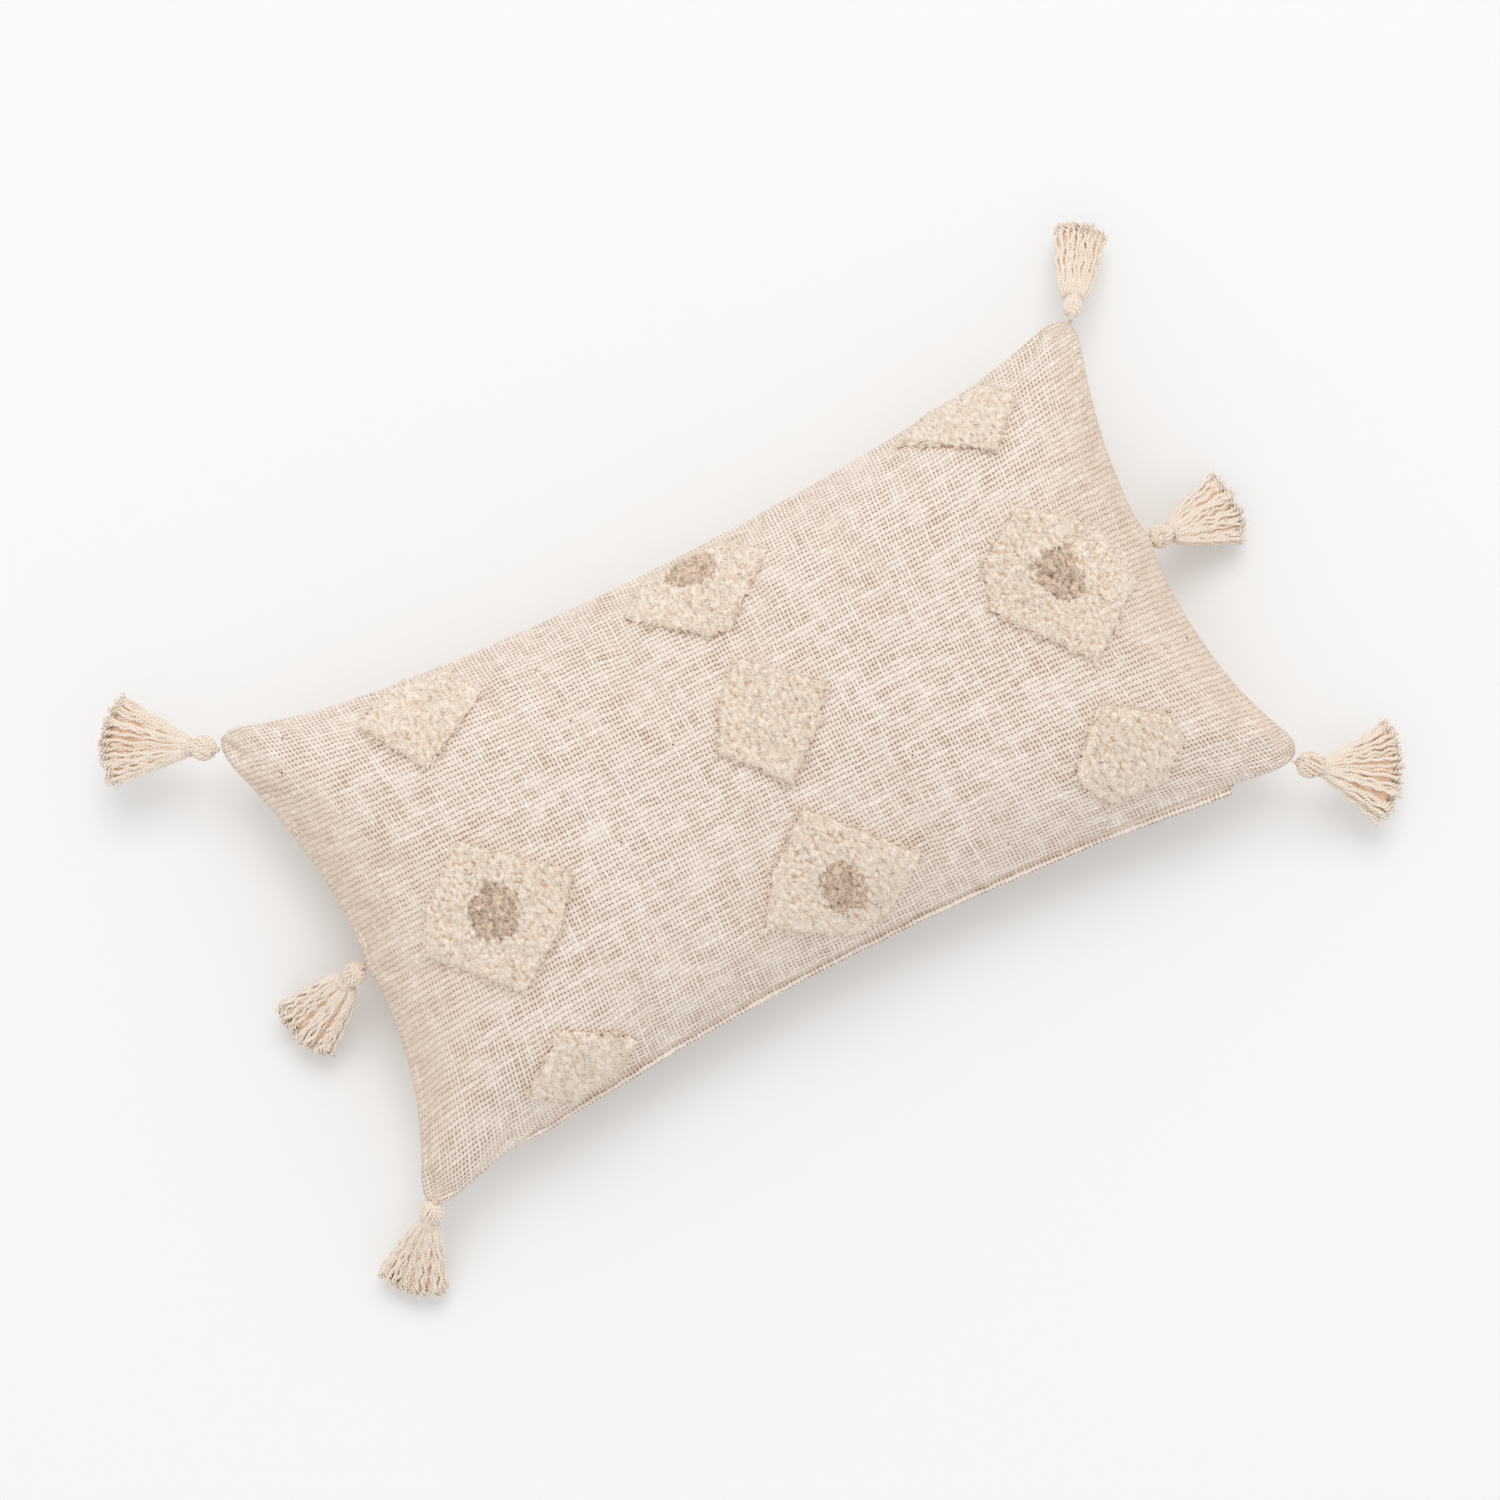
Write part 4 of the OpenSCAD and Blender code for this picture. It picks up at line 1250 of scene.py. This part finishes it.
def make_loop(name, rng):
    """The short loop of cord, from its knot at the seam round the bow and back."""
    hinge = np.array(joints["sway_" + name]["pos_m"])
    bow = np.array(joints["swing_" + name]["pos_m"])
    ahead = unit(np.array([*(bow - hinge)[:2], 0]))
    level = np.stack([ahead, np.array([-ahead[1], ahead[0], 0]), [0, 0, 1]])
    reach = np.linalg.norm(bow - hinge)
    corners = np.array(LOOP_SIDE + [(x, -y) for x, y in LOOP_SIDE[-2::-1]])
    share = np.linspace(0, len(corners) - 1, 60)
    path = np.zeros((len(share), 3))
    for axis, size in enumerate((reach, LOOP_HALF_W)):
        path[:, axis] = np.interp(share, np.arange(len(corners)), corners[:, axis] * size)
    for _ in range(3):
        path[1:-1] = (path[:-2] + path[1:-1] * 2 + path[2:]) / 4
    points, quads, numbers = yarn_mesh([(path[None], 0.1, CORD_R, THREAD_PITCH, 0.0)], hinge, level, rng)
    node = "tassel_" + name + "_loop"
    make_piece("loop_" + name, points, quads, "loop_" + name, "tassel_cord", [node], yarn=numbers)


# ================================================================ the whole pillow

CLOTH_SIZE = (
    2 * even_shares(HALF_L - SHORT_PULL, END_POWER, 1)[1][-1],
    2 * even_shares(HALF_W - LONG_PULL, SIDE_POWER, 1)[1][-1],
)

make_camera()
make_studio()

YARN_SHADOW = (0.8, 0.54, 0.36)
LOOKS = {
    # cover_weave: thread colour; tan for random thread tone and painted shade; the gap colour, painted
    # shade in the holes
    "cover_weave": (weave_material, (1.0, 0.905, 0.82), (0.76, 0.6, 0.478), (0.465, 0.295, 0.2)),
    # pile_cream and pile_taupe: tip colour, root colour for painted shade at the roots and in the creases,
    # and tone spread
    "pile_cream": (pile_material, (1.0, 0.89, 0.775), (0.77, 0.55, 0.38), 0.05),
    "pile_taupe": (pile_material, (0.94, 0.755, 0.605), (0.32, 0.21, 0.14), 0.4),
    "tassel_yarn": (yarn_material, (1.0, 0.895, 0.785), YARN_SHADOW, YARN_PITCH),
    "tassel_cord": (yarn_material, (0.96, 0.86, 0.75), YARN_SHADOW, THREAD_PITCH),
    "binding_thread": (yarn_material, (0.97, 0.87, 0.76), YARN_SHADOW, THREAD_PITCH),
    "zip_tape": (felt_material, (0.84, 0.77, 0.66), (0.7, 0.62, 0.5), 1500.0, 0.1 * MM),
    "zip_coil": (nylon_material,),
    "zip_metal": (metal_material,),
    "insert_casing": (felt_material, (0.86, 0.86, 0.84), (0.76, 0.76, 0.73), 700.0, 0.1 * MM),
    "fibre_fill": (felt_material, (0.94, 0.94, 0.94), (0.84, 0.84, 0.83), 260.0, 1.5 * MM),
}
MATERIALS = {slot: material(slot, *look) for slot, (material, *look) in LOOKS.items()}

STUFFED = stuffed_cover()
front_grid = cover_grid(1)
back_grid = cover_grid(-1)
make_panel("cover_front", "front_panel", 1, front_grid)
make_panel("cover_back", "back_panel", -1, back_grid)
make_casing("casing_top", "insert_casing_top", 1)
make_casing("casing_bottom", "insert_casing_bottom", -1)
make_fill()
for number, (motif, (corners, spot)) in enumerate(MOTIFS.items()):
    make_motif(motif, corners, spot, front_grid, 100 + number)
make_lip()
make_coil("coil_upper", "zip_coil_upper", 1)
make_coil("coil_lower", "zip_coil_lower", -1)
make_tape_end("tape_end_right", 1)
make_tape_end("tape_end_left", -1)
finish_cad(["zip_tape_upper", "zip_tape_lower"], "zip_tape")
finish_cad(["zip_slider", "zip_pull", "zip_top_stop", "zip_bottom_stop"], "zip_metal", 0.2 * MM)
for number, (tassel, look) in enumerate(TASSELS.items()):
    make_tassel(tassel, *look, 200 + number)
